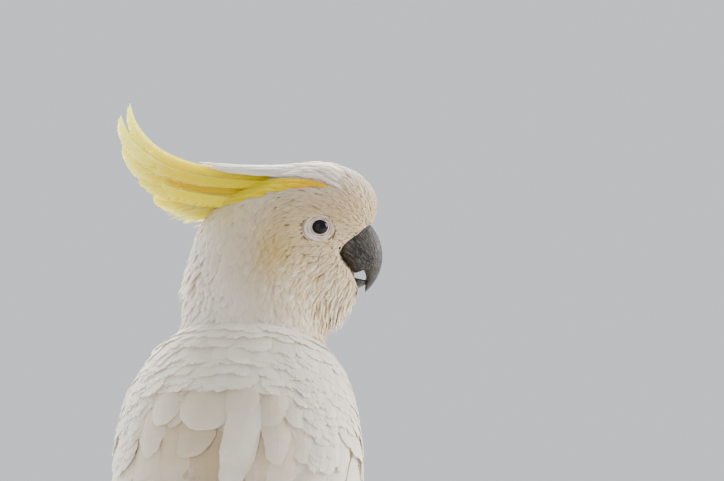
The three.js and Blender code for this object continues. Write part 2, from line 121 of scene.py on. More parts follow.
# %% The masses
BLEND = 7.0  # how softly neighbouring masses run together
HEAD_MASSES = {  # centre and radii along forward, left and up
    "cranium": ((-6, 0, -1), (40, 24, 26)),
    "forehead": ((34, 0, 13.5), (23.5, 17, 21.5)),
    "crown": ((15, 0, 21), (26, 13, 16.5)),
    "occiput": ((-29, 0, -20), (28, 29, 31)),
    "cheek_left": ((15, 11, -36), (28, 17, 22)),
    "cheek_right": ((15, -11, -36), (28, 17, 22)),
    "ruff": ((-21, 0, -42), (36, 34, 30)),
    "gape": ((33.5, 0, -25), (8.5, 7, 9.5)),
}
BODY_MASSES = {  # centre, radii across, back to front and along, and the slope of the last in degrees
    "nape": ((6, 28, 236), (42, 38, 44), 74),
    "shoulders": ((1, 10, 186), (56, 42, 42), 62),
    "breast": ((2, 34, 172), (50, 40, 52), 70),
    "back": ((4, -14, 140), (62, 44, 58), 58),
    "belly": ((3, 4, 118), (50, 44, 50), 50),
    "rump": ((0, -58, 88), (32, 21, 42), 34),
    "mantle": ((0.4, -25.5, 187.4), (46, 18, 43), 44),
    "lower_mantle": ((2.9, -30.4, 153), (72, 27, 90), 54),
    "thigh_left": ((-28.5, 0, 82), (21, 24, 30), 78),
    "thigh_right": ((28.5, 0, 82), (21, 24, 30), 78),
    "drumstick_left": ((-27.5, -15, 55), (14, 15, 24), 66),
    "drumstick_right": ((27.5, -15, 55), (14, 15, 24), 66),
}


def tilted_axes(slope):
    """Across, back-to-front and along directions of a mass whose length rises by slope degrees from +Y."""
    a = math.radians(slope)
    return np.array([[1, 0, 0], [0, -math.sin(a), math.cos(a)], [0, math.cos(a), math.sin(a)]])


centres = [head_point(*at) for at, _ in HEAD_MASSES.values()]
centres += [ORIGIN + np.array(at) for at, _, _ in BODY_MASSES.values()]
radii = [r for _, r in HEAD_MASSES.values()] + [r for _, r, _ in BODY_MASSES.values()]
axes = [HEAD_AXES] * len(HEAD_MASSES) + [tilted_axes(slope) for _, _, slope in BODY_MASSES.values()]
CENTRES, RADII, AXES = np.array(centres, float), np.array(radii, float), np.array(axes, float)


def plumage_level(points):
    """How far each point is outside the plumage, in mm, and the way out from there.
    An ellipsoid's distance is about n(n - 1)/g, with n the scaled radius and g its steepness.
    The masses are joined as -b log(sum of exp(-distance/b)), b being the blend."""
    flat = np.asarray(points, float).reshape(-1, 3)
    level, outward = np.empty(len(flat)), np.empty_like(flat)
    for start in range(0, len(flat), 60000):
        part = slice(start, start + 60000)
        scaled = np.einsum("nmi,mki->nmk", flat[part, None] - CENTRES, AXES) / RADII
        near = np.linalg.norm(scaled, axis=2)
        slope = scaled / RADII
        steep = np.linalg.norm(slope, axis=2) + 1e-9
        share = np.exp(np.clip(-near * (near - 1) / steep / BLEND, -60, 60))
        level[part] = -BLEND * np.log(share.sum(1) + 1e-30)
        way = np.einsum("nm,nmk,mki->ni", share / steep, slope, AXES)
        outward[part] = way / (np.linalg.norm(way, axis=1, keepdims=True) + 1e-12)
    shape = np.shape(points)
    return level.reshape(shape[:-1]), outward.reshape(shape)


def settle(points, wanted, rounds=3):
    """Moves points along the way out until they lie at the wanted level."""
    for _ in range(rounds):
        level, outward = plumage_level(points)
        points = points + (wanted - level)[..., None] * outward
    return points


# %% [markdown]
# ## Small helpers for meshes
# Every piece below is a grid of points: along one direction and across the other. These helpers turn
# arrays of points into a Blender mesh in one go, with its UV maps and its named attributes.

# %% Mesh helpers
def grid_faces(rows, columns, wrap=False):
    """Quads of a grid of rows by columns points. With wrap, the last column joins the first."""
    across = columns if wrap else columns - 1
    r, c = np.meshgrid(np.arange(rows - 1), np.arange(across), indexing="ij")
    a, b = r * columns + c, r * columns + (c + 1) % columns
    return np.stack([a, b, b + columns, a + columns], axis=-1).reshape(-1, 4)


def add_mesh(name, points, quads, material, uv=None, tint=None, triangles=()):
    """One object from points in mm. uv is a dict of maps with a value per point, and tint has a colour
    per point, which becomes the attribute that the finishes read."""
    points = np.asarray(points, float).reshape(-1, 3)
    mesh = bpy.data.meshes.new(name)
    loops = np.asarray(quads).reshape(-1)
    sizes = np.full(len(quads), 4)
    if len(triangles):
        loops = np.concatenate([loops, np.asarray(triangles).reshape(-1)])
        sizes = np.concatenate([sizes, np.full(len(triangles), 3)])
    mesh.vertices.add(len(points))
    mesh.vertices.foreach_set("co", (points * MM).astype(np.float32).ravel())
    mesh.loops.add(len(loops))
    mesh.loops.foreach_set("vertex_index", loops.astype(np.int32))
    mesh.polygons.add(len(sizes))
    mesh.polygons.foreach_set("loop_start", np.concatenate([[0], np.cumsum(sizes)[:-1]]).astype(np.int32))
    mesh.update(calc_edges=True)
    mesh.polygons.foreach_set("use_smooth", np.ones(len(sizes), bool))
    for map_name, values in (uv or {}).items():
        layer = mesh.uv_layers.new(name=map_name)
        layer.uv.foreach_set("vector", np.asarray(values, np.float32).reshape(-1, 2)[loops].ravel())
    if tint is not None:
        colours = np.ones((len(points), 4), np.float32)
        colours[:, :3] = np.asarray(tint, np.float32).reshape(-1, 3)
        mesh.attributes.new("tint", "FLOAT_COLOR", "POINT").data.foreach_set("color", colours.ravel())
    piece = bpy.data.objects.new(name, mesh)
    bpy.context.scene.collection.objects.link(piece)
    mesh.materials.append(material)
    mesh.validate()
    return piece


def finish_piece(piece, slot, *nodes):
    """The piece belongs to the still body and stands for the CAD nodes, which it hides. slot is not used."""
    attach(piece, "root")
    if nodes:
        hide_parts(*nodes)
    triangles = sum(len(p.vertices) - 2 for p in piece.data.polygons)
    print(f"{piece.name}: {triangles} triangles")
    return piece


def smooth_step(x, low=0.0, high=1.0):
    """0 below low, 1 above high, and a smooth rise between."""
    t = np.clip((x - low) / (high - low), 0, 1)
    return t * t * (3 - 2 * t)


def spline(stops, t):
    """A smooth curve through evenly spaced stops, t from 0 to 1 (Catmull-Rom)."""
    stops = np.asarray(stops, float)
    if stops.ndim == 1:
        stops = stops[:, None]
        return spline(stops, t)[..., 0]
    x = np.clip(np.asarray(t, float), 0, 1) * (len(stops) - 1)
    i = np.minimum(x.astype(int), len(stops) - 2)
    f = (x - i)[..., None]
    p0, p1 = stops[np.maximum(i - 1, 0)], stops[i]
    p2, p3 = stops[i + 1], stops[np.minimum(i + 2, len(stops) - 1)]
    return p1 + 0.5 * f * (p2 - p0 + f * (2 * p0 - 5 * p1 + 4 * p2 - p3 + f * (3 * (p1 - p2) + p3 - p0)))


def unit(v):
    """Vectors scaled to length 1."""
    return v / (np.linalg.norm(v, axis=-1, keepdims=True) + 1e-12)


# %% [markdown]
# ## Finishes
# Feathers are keratin barbs set side by side, so a vane is matt, softly streaked along its barbs, and lets
# some light through. Bill and claws are horn that grows in layers and wears to a dusty grey. Leg skin is
# scaly. Each repeated effect is a node group, made once: it reads a map or place on the piece and puts out
# only masks and heights, and the shader itself stays in each material.

# %% Helpers for node trees
def add_node(tree, kind, links=None, **settings):
    """A node with its settings, and its inputs either set to a value or linked from another output."""
    node = tree.nodes.new(kind)
    for key, value in settings.items():
        setattr(node, key, value)
    for key, value in (links or {}).items():
        if isinstance(value, bpy.types.NodeSocket):
            tree.links.new(value, node.inputs[key])
        else:
            node.inputs[key].default_value = value
    return node


def maths(tree, operation, *values, clamp=False):
    """One Math node's output."""
    links = dict(enumerate(values))
    return add_node(tree, "ShaderNodeMath", links, operation=operation, use_clamp=clamp).outputs[0]


def blend_colours(tree, factor, first, second, how="MIX"):
    """A colour between two colours."""
    links = {0: factor, 6: first, 7: second}  # the sockets of a colour mix
    return add_node(tree, "ShaderNodeMix", links, data_type="RGBA", blend_type=how).outputs[2]


def new_group(name, inputs, outputs):
    """An empty shader node group with named value sockets: its tree, and its input and output nodes."""
    tree = bpy.data.node_groups.new(name, "ShaderNodeTree")
    for label, default in inputs.items():
        socket = tree.interface.new_socket(label, in_out="INPUT", socket_type="NodeSocketFloat")
        socket.default_value = default
    for label in outputs:
        tree.interface.new_socket(label, in_out="OUTPUT", socket_type="NodeSocketFloat")
    return tree, tree.nodes.new("NodeGroupInput"), tree.nodes.new("NodeGroupOutput")


# %% Barbs: fine lines that sweep forward from a feather's shaft
FULL_TURN = 6.2832  # radians, for one wave of the lines
barbs, given, put_out = new_group(
    "Barbs", {"Lines per cm": 9.0, "Sweep": 1.1, "Unevenness": 0.5}, ["Streak", "Height"]
)
vane = add_node(barbs, "ShaderNodeUVMap", uv_map="Vane")  # across and along the vane, in cm
sides = add_node(barbs, "ShaderNodeSeparateXYZ", {0: vane.outputs[0]})
spread = maths(barbs, "ABSOLUTE", sides.outputs[0])
along = maths(barbs, "SUBTRACT", sides.outputs[1], maths(barbs, "MULTIPLY", spread, given.outputs["Sweep"]))
crossed = add_node(barbs, "ShaderNodeCombineXYZ", {0: maths(barbs, "MULTIPLY", spread, 0.6), 1: along})
noise = add_node(barbs, "ShaderNodeTexNoise", {"Vector": crossed.outputs[0], "Scale": 3.0, "Detail": 3.0})
wander = maths(barbs, "MULTIPLY", noise.outputs[0], given.outputs["Unevenness"])
turns = maths(barbs, "MULTIPLY", maths(barbs, "ADD", along, wander), given.outputs["Lines per cm"])
wave = maths(barbs, "SINE", maths(barbs, "MULTIPLY", turns, FULL_TURN))
fine = add_node(barbs, "ShaderNodeTexNoise", {"Vector": crossed.outputs[0], "Scale": 14.0, "Detail": 2.0})
streak = maths(barbs, "MULTIPLY", maths(barbs, "ADD", wave, 1.0), fine.outputs[0], clamp=True)
shaft = maths(barbs, "SUBTRACT", 1.0, maths(barbs, "MULTIPLY", spread, 16.0), clamp=True)
barbs.links.new(streak, put_out.inputs["Streak"])
barbs.links.new(maths(barbs, "ADD", streak, maths(barbs, "MULTIPLY", shaft, 1.6)), put_out.inputs["Height"])

# %% Horn: long streaks of growth, and a bloom of dust that clings in patches
horn, given, put_out = new_group(
    "Horn growth", {"Streak scale": 9.0, "Patch scale": 150.0}, ["Streak", "Dust"]
)
growth = add_node(horn, "ShaderNodeUVMap", uv_map="Growth")  # round the piece, and from root to tip
long_way = add_node(horn, "ShaderNodeMapping", {"Vector": growth.outputs[0], "Scale": (4.0, 0.7, 1.0)})
lines = add_node(
    horn, "ShaderNodeTexNoise",
    {"Vector": long_way.outputs[0], "Scale": given.outputs["Streak scale"], "Detail": 6.0, "Roughness": 0.65},
)
place = add_node(horn, "ShaderNodeTexCoord")
patches = add_node(
    horn, "ShaderNodeTexNoise",
    {
        "Vector": place.outputs["Object"], "Scale": given.outputs["Patch scale"],
        "Detail": 5.0, "Roughness": 0.7,
    },
)
dust = maths(horn, "MULTIPLY", maths(horn, "SUBTRACT", patches.outputs[0], 0.46), 5.0, clamp=True)
horn.links.new(lines.outputs[0], put_out.inputs["Streak"])
horn.links.new(maths(horn, "MULTIPLY", dust, lines.outputs[0]), put_out.inputs["Dust"])

# %% Creases: a net of small folds, for bare skin and scales
creases, given, put_out = new_group("Creases", {"Cell scale": 900.0}, ["Height", "Mottle"])
place = add_node(creases, "ShaderNodeTexCoord")
cells = add_node(
    creases, "ShaderNodeTexVoronoi",
    {"Vector": place.outputs["Object"], "Scale": given.outputs["Cell scale"]}, feature="DISTANCE_TO_EDGE",
)
mottle = add_node(
    creases, "ShaderNodeTexNoise", {"Vector": place.outputs["Object"], "Scale": 260.0, "Detail": 4.0}
)
edge_height = maths(creases, "MULTIPLY", cells.outputs["Distance"], 4.0, clamp=True)
creases.links.new(edge_height, put_out.inputs["Height"])
creases.links.new(mottle.outputs[0], put_out.inputs["Mottle"])


# %% Materials
def new_material(name, **surface):
    """A material whose Principled shader has these plain values: its tree and the shader."""
    material = bpy.data.materials.new(name)
    material.use_nodes = True
    tree = material.node_tree
    shader = tree.nodes["Principled BSDF"]
    for label, value in surface.items():
        shader.inputs[label.replace("_", " ")].default_value = value
    return material, tree, shader


def use_group(tree, group, **values):
    """The group placed in a material, with its own values."""
    node = tree.nodes.new("ShaderNodeGroup")
    node.node_tree = group
    for label, value in values.items():
        node.inputs[label.replace("_", " ")].default_value = value
    return node


def bump_into(tree, shader, height, depth_mm, strength=1.0):
    """Makes a height relief of this depth the shader's normal."""
    inputs = {"Height": height, "Distance": depth_mm * MM, "Strength": strength}
    bump = add_node(tree, "ShaderNodeBump", inputs)
    tree.links.new(bump.outputs[0], shader.inputs["Normal"])


def feather_material(name, through, lines, streak_depth, sheen=0.12, shine=0.5):
    """Vanes: the piece's own tint, darkened a little between barbs. `through` is the share of light that
    passes the vane, which makes thin edges glow when the light is behind them."""
    material, tree, shader = new_material(
        name, Roughness=0.62, Sheen_Weight=sheen, Sheen_Roughness=0.5, Specular_IOR_Level=shine
    )
    tint = add_node(tree, "ShaderNodeAttribute", attribute_name="tint", attribute_type="GEOMETRY")
    vane = use_group(tree, barbs, Lines_per_cm=lines)
    shade = maths(tree, "SUBTRACT", 1.0, maths(tree, "MULTIPLY", vane.outputs["Streak"], streak_depth))
    colour = blend_colours(tree, 1.0, tint.outputs["Color"], shade, "MULTIPLY")
    tree.links.new(colour, shader.inputs["Base Color"])
    bump_into(tree, shader, vane.outputs["Height"], 0.12, 0.5)
    glow = add_node(tree, "ShaderNodeBsdfTranslucent", {"Color": colour})
    mixed = add_node(tree, "ShaderNodeMixShader", {0: through, 1: shader.outputs[0], 2: glow.outputs[0]})
    tree.links.new(mixed.outputs[0], tree.nodes["Material Output"].inputs["Surface"])
    return material


WHITE_VANE = feather_material("White feather", 0.32, 9.0, 0.05)
SOFT_VANE = feather_material("Soft body feather", 0.4, 6.0, 0.04)
YELLOW_VANE = feather_material("Crest plume", 0.45, 6.0, 0.07, 0.0, 0.15)


def horn_material(name, dark, dusty, dust_share, roughness):
    """Horn: a dark ground with paler growth streaks and dust."""
    material, tree, shader = new_material(
        name, Coat_Weight=0.03, Coat_Roughness=0.35, Specular_IOR_Level=0.3
    )
    layers = use_group(tree, horn)
    lines = maths(tree, "MULTIPLY", maths(tree, "SUBTRACT", layers.outputs["Streak"], 0.47), 7.0, clamp=True)
    streaky = blend_colours(tree, maths(tree, "MULTIPLY", lines, 0.62), dark, dusty)
    dusted = blend_colours(tree, maths(tree, "MULTIPLY", layers.outputs["Dust"], dust_share), streaky, dusty)
    tree.links.new(dusted, shader.inputs["Base Color"])
    rough = maths(tree, "ADD", maths(tree, "MULTIPLY", layers.outputs["Dust"], 0.35), roughness)
    tree.links.new(rough, shader.inputs["Roughness"])
    bump_into(tree, shader, layers.outputs["Streak"], 0.45, 0.9)
    return material


BILL_HORN = horn_material("Bill horn", (0.008, 0.008, 0.009, 1), (0.13, 0.108, 0.09, 1), 0.6, 0.45)
CLAW_HORN = horn_material("Claw horn", (0.02, 0.019, 0.019, 1), (0.1, 0.095, 0.09, 1), 0.4, 0.32)


def skin_material(name, base, crease, cell_scale, relief, roughness, soft):
    """Bare skin: the crease colour between small cells of the base colour. Without a base colour the
    piece's own tint is used, with painted shade in the creases."""
    material, tree, shader = new_material(
        name, Roughness=roughness, Subsurface_Weight=soft, Subsurface_Scale=0.002
    )
    folds = use_group(tree, creases, Cell_scale=cell_scale)
    depth = maths(tree, "MULTIPLY", folds.outputs["Height"], folds.outputs["Mottle"])
    if base is None:
        tint = add_node(tree, "ShaderNodeAttribute", attribute_name="tint", attribute_type="GEOMETRY")
        # painted shade: the own tint falls to 0.78 of itself in the creases
        shade = maths(tree, "ADD", maths(tree, "MULTIPLY", depth, 0.5, clamp=True), 0.78, clamp=True)
        colour = blend_colours(tree, 1.0, tint.outputs["Color"], shade, "MULTIPLY")
    else:
        colour = blend_colours(tree, maths(tree, "MULTIPLY", depth, 1.6, clamp=True), crease, base)
    tree.links.new(colour, shader.inputs["Base Color"])
    bump_into(tree, shader, folds.outputs["Height"], relief, 0.6)
    return material


RING_SKIN = skin_material("Eye ring skin", None, None, 1500.0, 0.08, 0.5, 0.1)
LEG_SKIN = skin_material(
    "Scaly leg skin", (0.1, 0.1, 0.105, 1), (0.035, 0.034, 0.036, 1), 700.0, 0.15, 0.6, 0.0
)
DOWN = skin_material("Downy skin", None, None, 500.0, 0.05, 0.8, 0.0)
CORNEA, tree, shader = new_material(
    "Eye", Roughness=0.1, Coat_Weight=0.1, Coat_Roughness=0.03, Specular_IOR_Level=0.14
)
facing = add_node(tree, "ShaderNodeLayerWeight", {"Blend": 0.25}).outputs["Facing"]
iris = blend_colours(tree, facing, (0.003, 0.003, 0.005, 1), (0.010, 0.010, 0.014, 1))
tree.links.new(iris, shader.inputs["Base Color"])
print("materials:", len(bpy.data.materials))

# %% [markdown]
# ## The folded wings as a shell round the back
# Folded wings wrap the back like a shell. The shell is described by ovals along the bird: for each, its
# middle, its reach to the side and to the back. A place on it is given by how far along it is, from 0 at
# the shoulders to 1 at the wing tips, and by an angle, from below the right wing's lower edge (-40) over
# the middle of the back (90) to the left wing's lower edge (220). Wing feathers are laid out in these two
# numbers, which keeps their rows true whatever the shell's shape.

# %% The shell
SHELL_AT = [
    (4, 26, 214), (2.5, 18, 200), (2, 8, 180), (4, -8, 155), (5.5, -22, 132), (4, -42, 110),
    (2, -72, 95), (0, -112, 79), (0, -160, 58), (0, -208, 37), (0, -222, 31),
]
SHELL_ACROSS = [49, 64, 74, 79.5, 80.5, 75, 61, 44, 29, 18, 15]
SHELL_BACK = [44, 50, 54, 56, 54, 45, 32, 23, 17, 12, 10]
SHELL_LOW = [-4, -24, -34, -38, -36, -30, -20, -8, 4, 20, 40]  # the wing's lower edge, in degrees
SHELL_HIGH = [20, 46, 68, 80, 86, 87, 87, 87, 86, 80, 66]  # its upper edge
SHELL_THICK = [3, 12, 16, 17, 16, 14, 10, 7, 4, 1.8, 1]


def shell(along, angle, sink=0.0):
    """A place on the shell, sink mm below its face: the oval's middle, plus its reach across times the
    angle's cosine, plus its reach to the back times the angle's sine."""
    along, angle = np.broadcast_arrays(np.asarray(along, float), np.radians(angle))
    middle = ORIGIN + spline(SHELL_AT, along)
    ahead = spline(SHELL_AT, along + 0.004) - spline(SHELL_AT, along - 0.004)
    backward = unit(np.stack([np.zeros_like(along), ahead[..., 2], -ahead[..., 1]], axis=-1))
    across = (spline(SHELL_ACROSS, along) - sink) * np.cos(angle)
    back = (spline(SHELL_BACK, along) - sink) * np.sin(angle)
    return middle + across[..., None] * np.array([1.0, 0, 0]) + back[..., None] * backward


def shell_frame(along, angle):
    """Place, step per unit along, step per degree and way out, for points of the shell."""
    here = shell(along, angle)
    forth = (shell(along + 0.004, angle) - shell(along - 0.004, angle)) / 0.008
    round_ = (shell(along, np.asarray(angle) + 0.5) - shell(along, np.asarray(angle) - 0.5))
    out = unit(np.cross(forth, round_))
    middle = ORIGIN + spline(SHELL_AT, along)
    out *= np.sign(np.sum(out * (here - middle), axis=-1, keepdims=True))
    return here, forth, round_, out


SHELL_LENGTH = 302  # along the middle of the back, in mm, as measured by the next line
length = np.linalg.norm(np.diff(shell(np.linspace(0, 1, 60), 90.0), axis=0), axis=1).sum()
print("shell length over the back:", round(length), "mm")

# %% [markdown]
# ## One skin
# The skin is one closed surface, with no seam between head, neck, trunk, thighs and wings. The masses and
# the two wing blocks are laid over each other as plain closed shapes, a voxel remesh melts them into one
# surface of even cells, and each point then moves to the level that lies a coat's depth under the plumage.

# %% Shapes to melt together
COAT = 2.6  # depth of the coat over the skin, in mm, thinner on the face
FACE_COAT = 1.2


def head_distance(points):
    """Distance from the bill's base, the measure that coat depth and feather size follow."""
    return np.linalg.norm(on_head(points) - np.array([50.0, 0, -6]), axis=-1)


def coat_depth(points):
    """Depth of the feathers over the skin: thin at the bill and eyes, full from the nape down."""
    return FACE_COAT + (COAT - FACE_COAT) * smooth_step(head_distance(points), 18, 62)


BORDER_UP = [-41.5, -38.5, -35.5, -32.5, -29, -26.2, -20.5, -16, -11.2, -7.4, -4.3, -1.3, 2.1, 3.6]
BORDER_FORWARD = [44.6, 45.8, 44.6, 43.4, 41.7, 40.2, 34.8, 33.6, 36.6, 41.2, 45.7, 48.8, 51.8, 62]


def beside_bill(points):
    """Over the bill's flank the head's surface dives in to 4 mm from the middle plane, so that the bill
    stands clear of it with a clean border, from the gape up to the brow and along the cutting edge. Under
    the bill the throat also ends at that border, which leaves the lower bill its room."""
    forward, left, up = np.moveaxis(on_head(points), -1, 0)
    border = np.interp(up, BORDER_UP, BORDER_FORWARD)
    border = np.where(up < -42, 90, border)
    dive = smooth_step(forward - border, -0.6, 1.4)
    excess = (np.abs(left) - 4.0).clip(0) * dive
    throat = smooth_step(-up, 24, 29) * (1 - smooth_step(-up, 39, 43)) * (forward - border - 0.5).clip(0)
    return points - (np.sign(left) * excess)[..., None] * LEFT - 0.85 * throat[..., None] * FORWARD


def ball_grid(rows=20, columns=32):
    """Points of a unit ball as a grid of latitudes and longitudes, with its quads; the poles are rings."""
    tilt = np.linspace(0.02, math.pi - 0.02, rows)[:, None]
    turn = np.linspace(0, 2 * math.pi, columns, endpoint=False)[None]
    across, round_ = np.sin(tilt) * np.cos(turn), np.sin(tilt) * np.sin(turn)
    points = np.stack([across, round_, np.cos(tilt) + 0 * turn], axis=-1)
    return points, grid_faces(rows, columns, wrap=True)


def with_caps(points, quads, end=None):
    """Closes a wrapped grid of rings at both ends with a point each: all points, quads and triangles."""
    rows, columns = points.shape[:2]
    flat = points.reshape(-1, 3)
    start, end = points[0].mean(0), points[-1].mean(0) if end is None else end
    ring = np.arange(columns)
    first = np.stack([np.full(columns, len(flat)), (ring + 1) % columns, ring], axis=1)
    base = (rows - 1) * columns
    last = np.stack([first[:, 0] + 1, base + ring, base + first[:, 1]], axis=1)
    return np.concatenate([flat, [start, end]]), quads, np.concatenate([first, last])


def gather(shapes):
    """Several (points, quads, triangles) as one."""
    points, quads, triangles, count = [], [], [], 0
    for p, q, t in shapes:
        points.append(p)
        quads.append(q + count)
        triangles.append(t + count)
        count += len(p)
    return np.concatenate(points), np.concatenate(quads), np.concatenate(triangles)


ball, ball_quads = ball_grid()
shapes = [
    with_caps(centre + (ball * radius) @ axis, ball_quads)
    for centre, radius, axis in zip(CENTRES, RADII - COAT, AXES)
]
# a wing block's rings run out over its face for the first half and back along its inner side
WING_ROWS, HALF_RING = 44, 22
along = np.linspace(0.02, 0.97, WING_ROWS)[:, None]
share = np.concatenate([np.linspace(0, 1, HALF_RING), np.linspace(1, 0, HALF_RING)])[None]
inner = np.concatenate([np.zeros(HALF_RING), np.ones(HALF_RING)])[None]
low, high = spline(SHELL_LOW, along), spline(SHELL_HIGH, along)
angle = low + 5 + (high - low - 6) * share
sink = 4.0 + (spline(SHELL_THICK, along) - 3.6).clip(0.4) * inner
for turned in (angle, 180 - angle):
    shapes.append(with_caps(shell(along, turned, sink), grid_faces(WING_ROWS, 2 * HALF_RING, wrap=True)))
points, quads, triangles = gather(shapes)
rough_shape = add_mesh("rough shape", points, quads, DOWN, triangles=triangles)

# %% Melt them, and bring the skin to its level
melt = rough_shape.modifiers.new("Melt", "REMESH")
melt.mode, melt.voxel_size, melt.use_smooth_shade = "VOXEL", 2.3 * MM, True
depsgraph = bpy.context.evaluated_depsgraph_get()
melted = bpy.data.meshes.new_from_object(rough_shape.evaluated_get(depsgraph))
skin_points = np.empty(len(melted.vertices) * 3, np.float32)
melted.vertices.foreach_get("co", skin_points)
skin_points = skin_points.reshape(-1, 3).astype(float) / MM
skin_quads = np.empty(len(melted.loops), np.int32)
melted.loops.foreach_get("vertex_index", skin_quads)
skin_quads = skin_quads.reshape(-1, 4)
bpy.data.objects.remove(rough_shape)
edges = np.concatenate([skin_quads[:, [k, (k + 1) % 4]] for k in range(4)])
print("melted into", len(skin_points), "points")

# %% Keep the outer surface only, smooth it and bring it to its level
island = np.arange(len(skin_points))
while True:
    lowest = island.copy()
    np.minimum.at(lowest, edges[:, 0], island[edges[:, 1]])
    np.minimum.at(lowest, edges[:, 1], island[edges[:, 0]])
    lowest = lowest[lowest]
    if (lowest == island).all():
        break
    island = lowest
largest = np.bincount(island).argmax()
keep = island == largest
number = np.cumsum(keep) - 1
skin_quads = number[skin_quads[keep[skin_quads[:, 0]]]]
edges = number[edges[keep[edges[:, 0]]]]
skin_points = skin_points[keep]
for _ in range(6):
    total, count = np.zeros_like(skin_points), np.zeros(len(skin_points))
    np.add.at(total, edges[:, 0], skin_points[edges[:, 1]])
    np.add.at(count, edges[:, 0], 1)
    skin_points += 0.5 * (total / count[:, None] - skin_points)
for _ in range(3):
    level, outward = plumage_level(skin_points)
    depth = coat_depth(skin_points)
    near = 1 - smooth_step(level + depth, 1.5, 4.0)
    skin_points += (near * (-depth - level).clip(-4, 4))[:, None] * outward
full_points = skin_points  # feathers are rooted on this one, before it sinks under bill and wings

# %% Keep it under the bill's flank and under the quills of the folded wings
NET_COLUMNS = 61  # of the net of places over the shell
NET_MIDDLE = NET_COLUMNS // 2
WING_REACH = 12  # how near to the shell, in mm, the body counts as covered by a wing
QUILL_DEPTH = 4.6
shell_s, shell_a = np.meshgrid(np.linspace(0.0, 0.97, 90), np.linspace(0, 1, NET_COLUMNS), indexing="ij")
low = spline(SHELL_LOW, shell_s)
shell_points, _, _, shell_out = shell_frame(shell_s, low + (180 - 2 * low) * shell_a)
shell_points, shell_out = shell_points.reshape(-1, 3), shell_out.reshape(-1, 3)
shell_tree = KDTree(len(shell_points))
for i, place in enumerate(shell_points):
    shell_tree.insert(place, i)
shell_tree.balance()


def under_wings(points):
    """Each point near the shell sinks against its way out to the quills' depth under its face, and less
    near the shell's border."""
    found = [shell_tree.find(point) for point in points]
    nearest, gap = np.array([f[1] for f in found]), np.array([f[2] for f in found])
    row, column = np.divmod(nearest, NET_COLUMNS)
    depth = -np.sum((points - shell_points[nearest]) * shell_out[nearest], axis=1)
    from_side = NET_MIDDLE - np.abs(column - NET_MIDDLE)
    inside = smooth_step(row, 8, 20) * smooth_step(from_side, 2, 8) * (gap < WING_REACH)
    return points - ((QUILL_DEPTH - depth).clip(0) * inside)[:, None] * shell_out[nearest]


skin_points = under_wings(beside_bill(skin_points))
print("skin:", len(skin_points), "points; share at its level:", round(float((near > 0.5).mean()), 2))

# %% [markdown]
# ## The colours of the plumage
# The bird is white, but no white feather is quite the same. The face and forehead are cream, partly their
# own colour and partly painted warm shade that fades towards the crown, a warm yellow stain lies over the
# ear, the crown has a trace of orange where it meets the crest, the chin is whitened as painted light from
# behind, and the hidden base of each feather is painted greyer than its tip, as shade. All of it is given by
# formulas of the root's place on the head.

# %% Tints
def mix(first, second, share):
    """A blend of colours, share 0 to 1."""
    return first + (second - first) * np.asarray(share)[..., None]


# WARM is partly the feathers' own cream tone and partly painted warm shade
WHITE, WARM = np.array((0.91, 0.87, 0.80)), np.array((0.85, 0.745, 0.57))
# CREAM is partly the face's own colour and partly painted warm shade
CREAM, STAIN = np.array((0.73, 0.585, 0.36)), np.array((0.64, 0.47, 0.15))
APRICOT, CRESTWARD = np.array((0.80, 0.50, 0.31)), np.array((0.88, 0.76, 0.34))


def body_tint(roots, along):
    """Colour of each point of each feather from its root's place and the share along it."""
    local = on_head(roots)
    forward, out, up = local[:, 0], np.abs(local[:, 1]), local[:, 2]
    # the face's cream, partly its own colour and partly painted warm shade, fading out towards the crown
    face = 1 - smooth_step(np.linalg.norm(local - np.array([30.0, 0, -14]), axis=1), 40, 92)
    colour = mix(WHITE, CREAM, 0.12 + 0.88 * face * smooth_step(-up, -36, -10))
    ear = round_patch(forward, up, (-3, -12), (13, 15)) * smooth_step(out, 8, 16)
    colour = mix(colour, STAIN, 0.9 * ear)
    brow = round_patch(forward, up, (40, 18), (12, 14))
    colour = mix(colour, APRICOT, 0.22 * brow)
    under_crest = round_patch(forward, up, (-34, 13), (13, 9))
    colour = mix(colour, CRESTWARD, 0.6 * under_crest)
    cheek = round_patch(forward, up, (18, -38), (20, 18))
    colour = mix(colour, WHITE, 0.75 * cheek * (rng.random(len(roots)) > 0.72))
    # painted light: the chin, lit from behind, is whitened
    chin = round_patch(forward, up, (40, -50), (14, 14))
    colour = mix(colour, WHITE, 0.5 * chin)
    tone = 1 + rng.normal(0, 0.022, len(roots))
    # painted shade: each feather is a little darker towards its hidden base
    shade = 0.95 + 0.05 * smooth_step(along, 0.1, 0.7)
    return colour[:, None, None] * (tone[:, None, None] * shade)[..., None]


# %% [markdown]
# ## Legs, toes and claws
# A cockatoo's foot has two toes in front and two behind. Each toe is a tube swept along the floor, a little
# thicker at its joints, with plates across its top like the tiles of a narrow roof and soft pads under it.
# The undersides are pressed flat on the floor. Claws are separate, curved, tapering horn.

# %% A tube along a path
def tube(path, wide, deep, side, rows=40, columns=20, relief=None):
    """Rings along a smooth path: each ring is the path's point, plus its half-width times a cosine to the
    side, plus its half-depth times a sine upwards. relief(t, turn) scales the ring for plates and pads."""
    t = np.linspace(0, 1, rows)
    middle = spline(path, t)
    ahead = unit(spline(path, t + 0.01) - spline(path, t - 0.01))
    side = np.asarray(side, float)
    across = unit(side - np.sum(ahead * side, axis=1, keepdims=True) * ahead)
    above = np.cross(ahead, across)
    above *= np.sign(above[:, 2:].sum() or 1.0)
    turn = np.linspace(0, 2 * math.pi, columns, endpoint=False)
    scale = np.ones((rows, columns)) if relief is None else relief(t[:, None], turn[None])
    ring = (
        (spline(wide, t)[:, None] * scale * np.cos(turn))[..., None] * across[:, None]
        + (spline(deep, t)[:, None] * scale * np.sin(turn))[..., None] * above[:, None]
    )
    growth = np.stack(np.broadcast_arrays(turn[None] / math.pi, t[:, None] * 3), axis=-1)
    return middle[:, None] + ring, growth


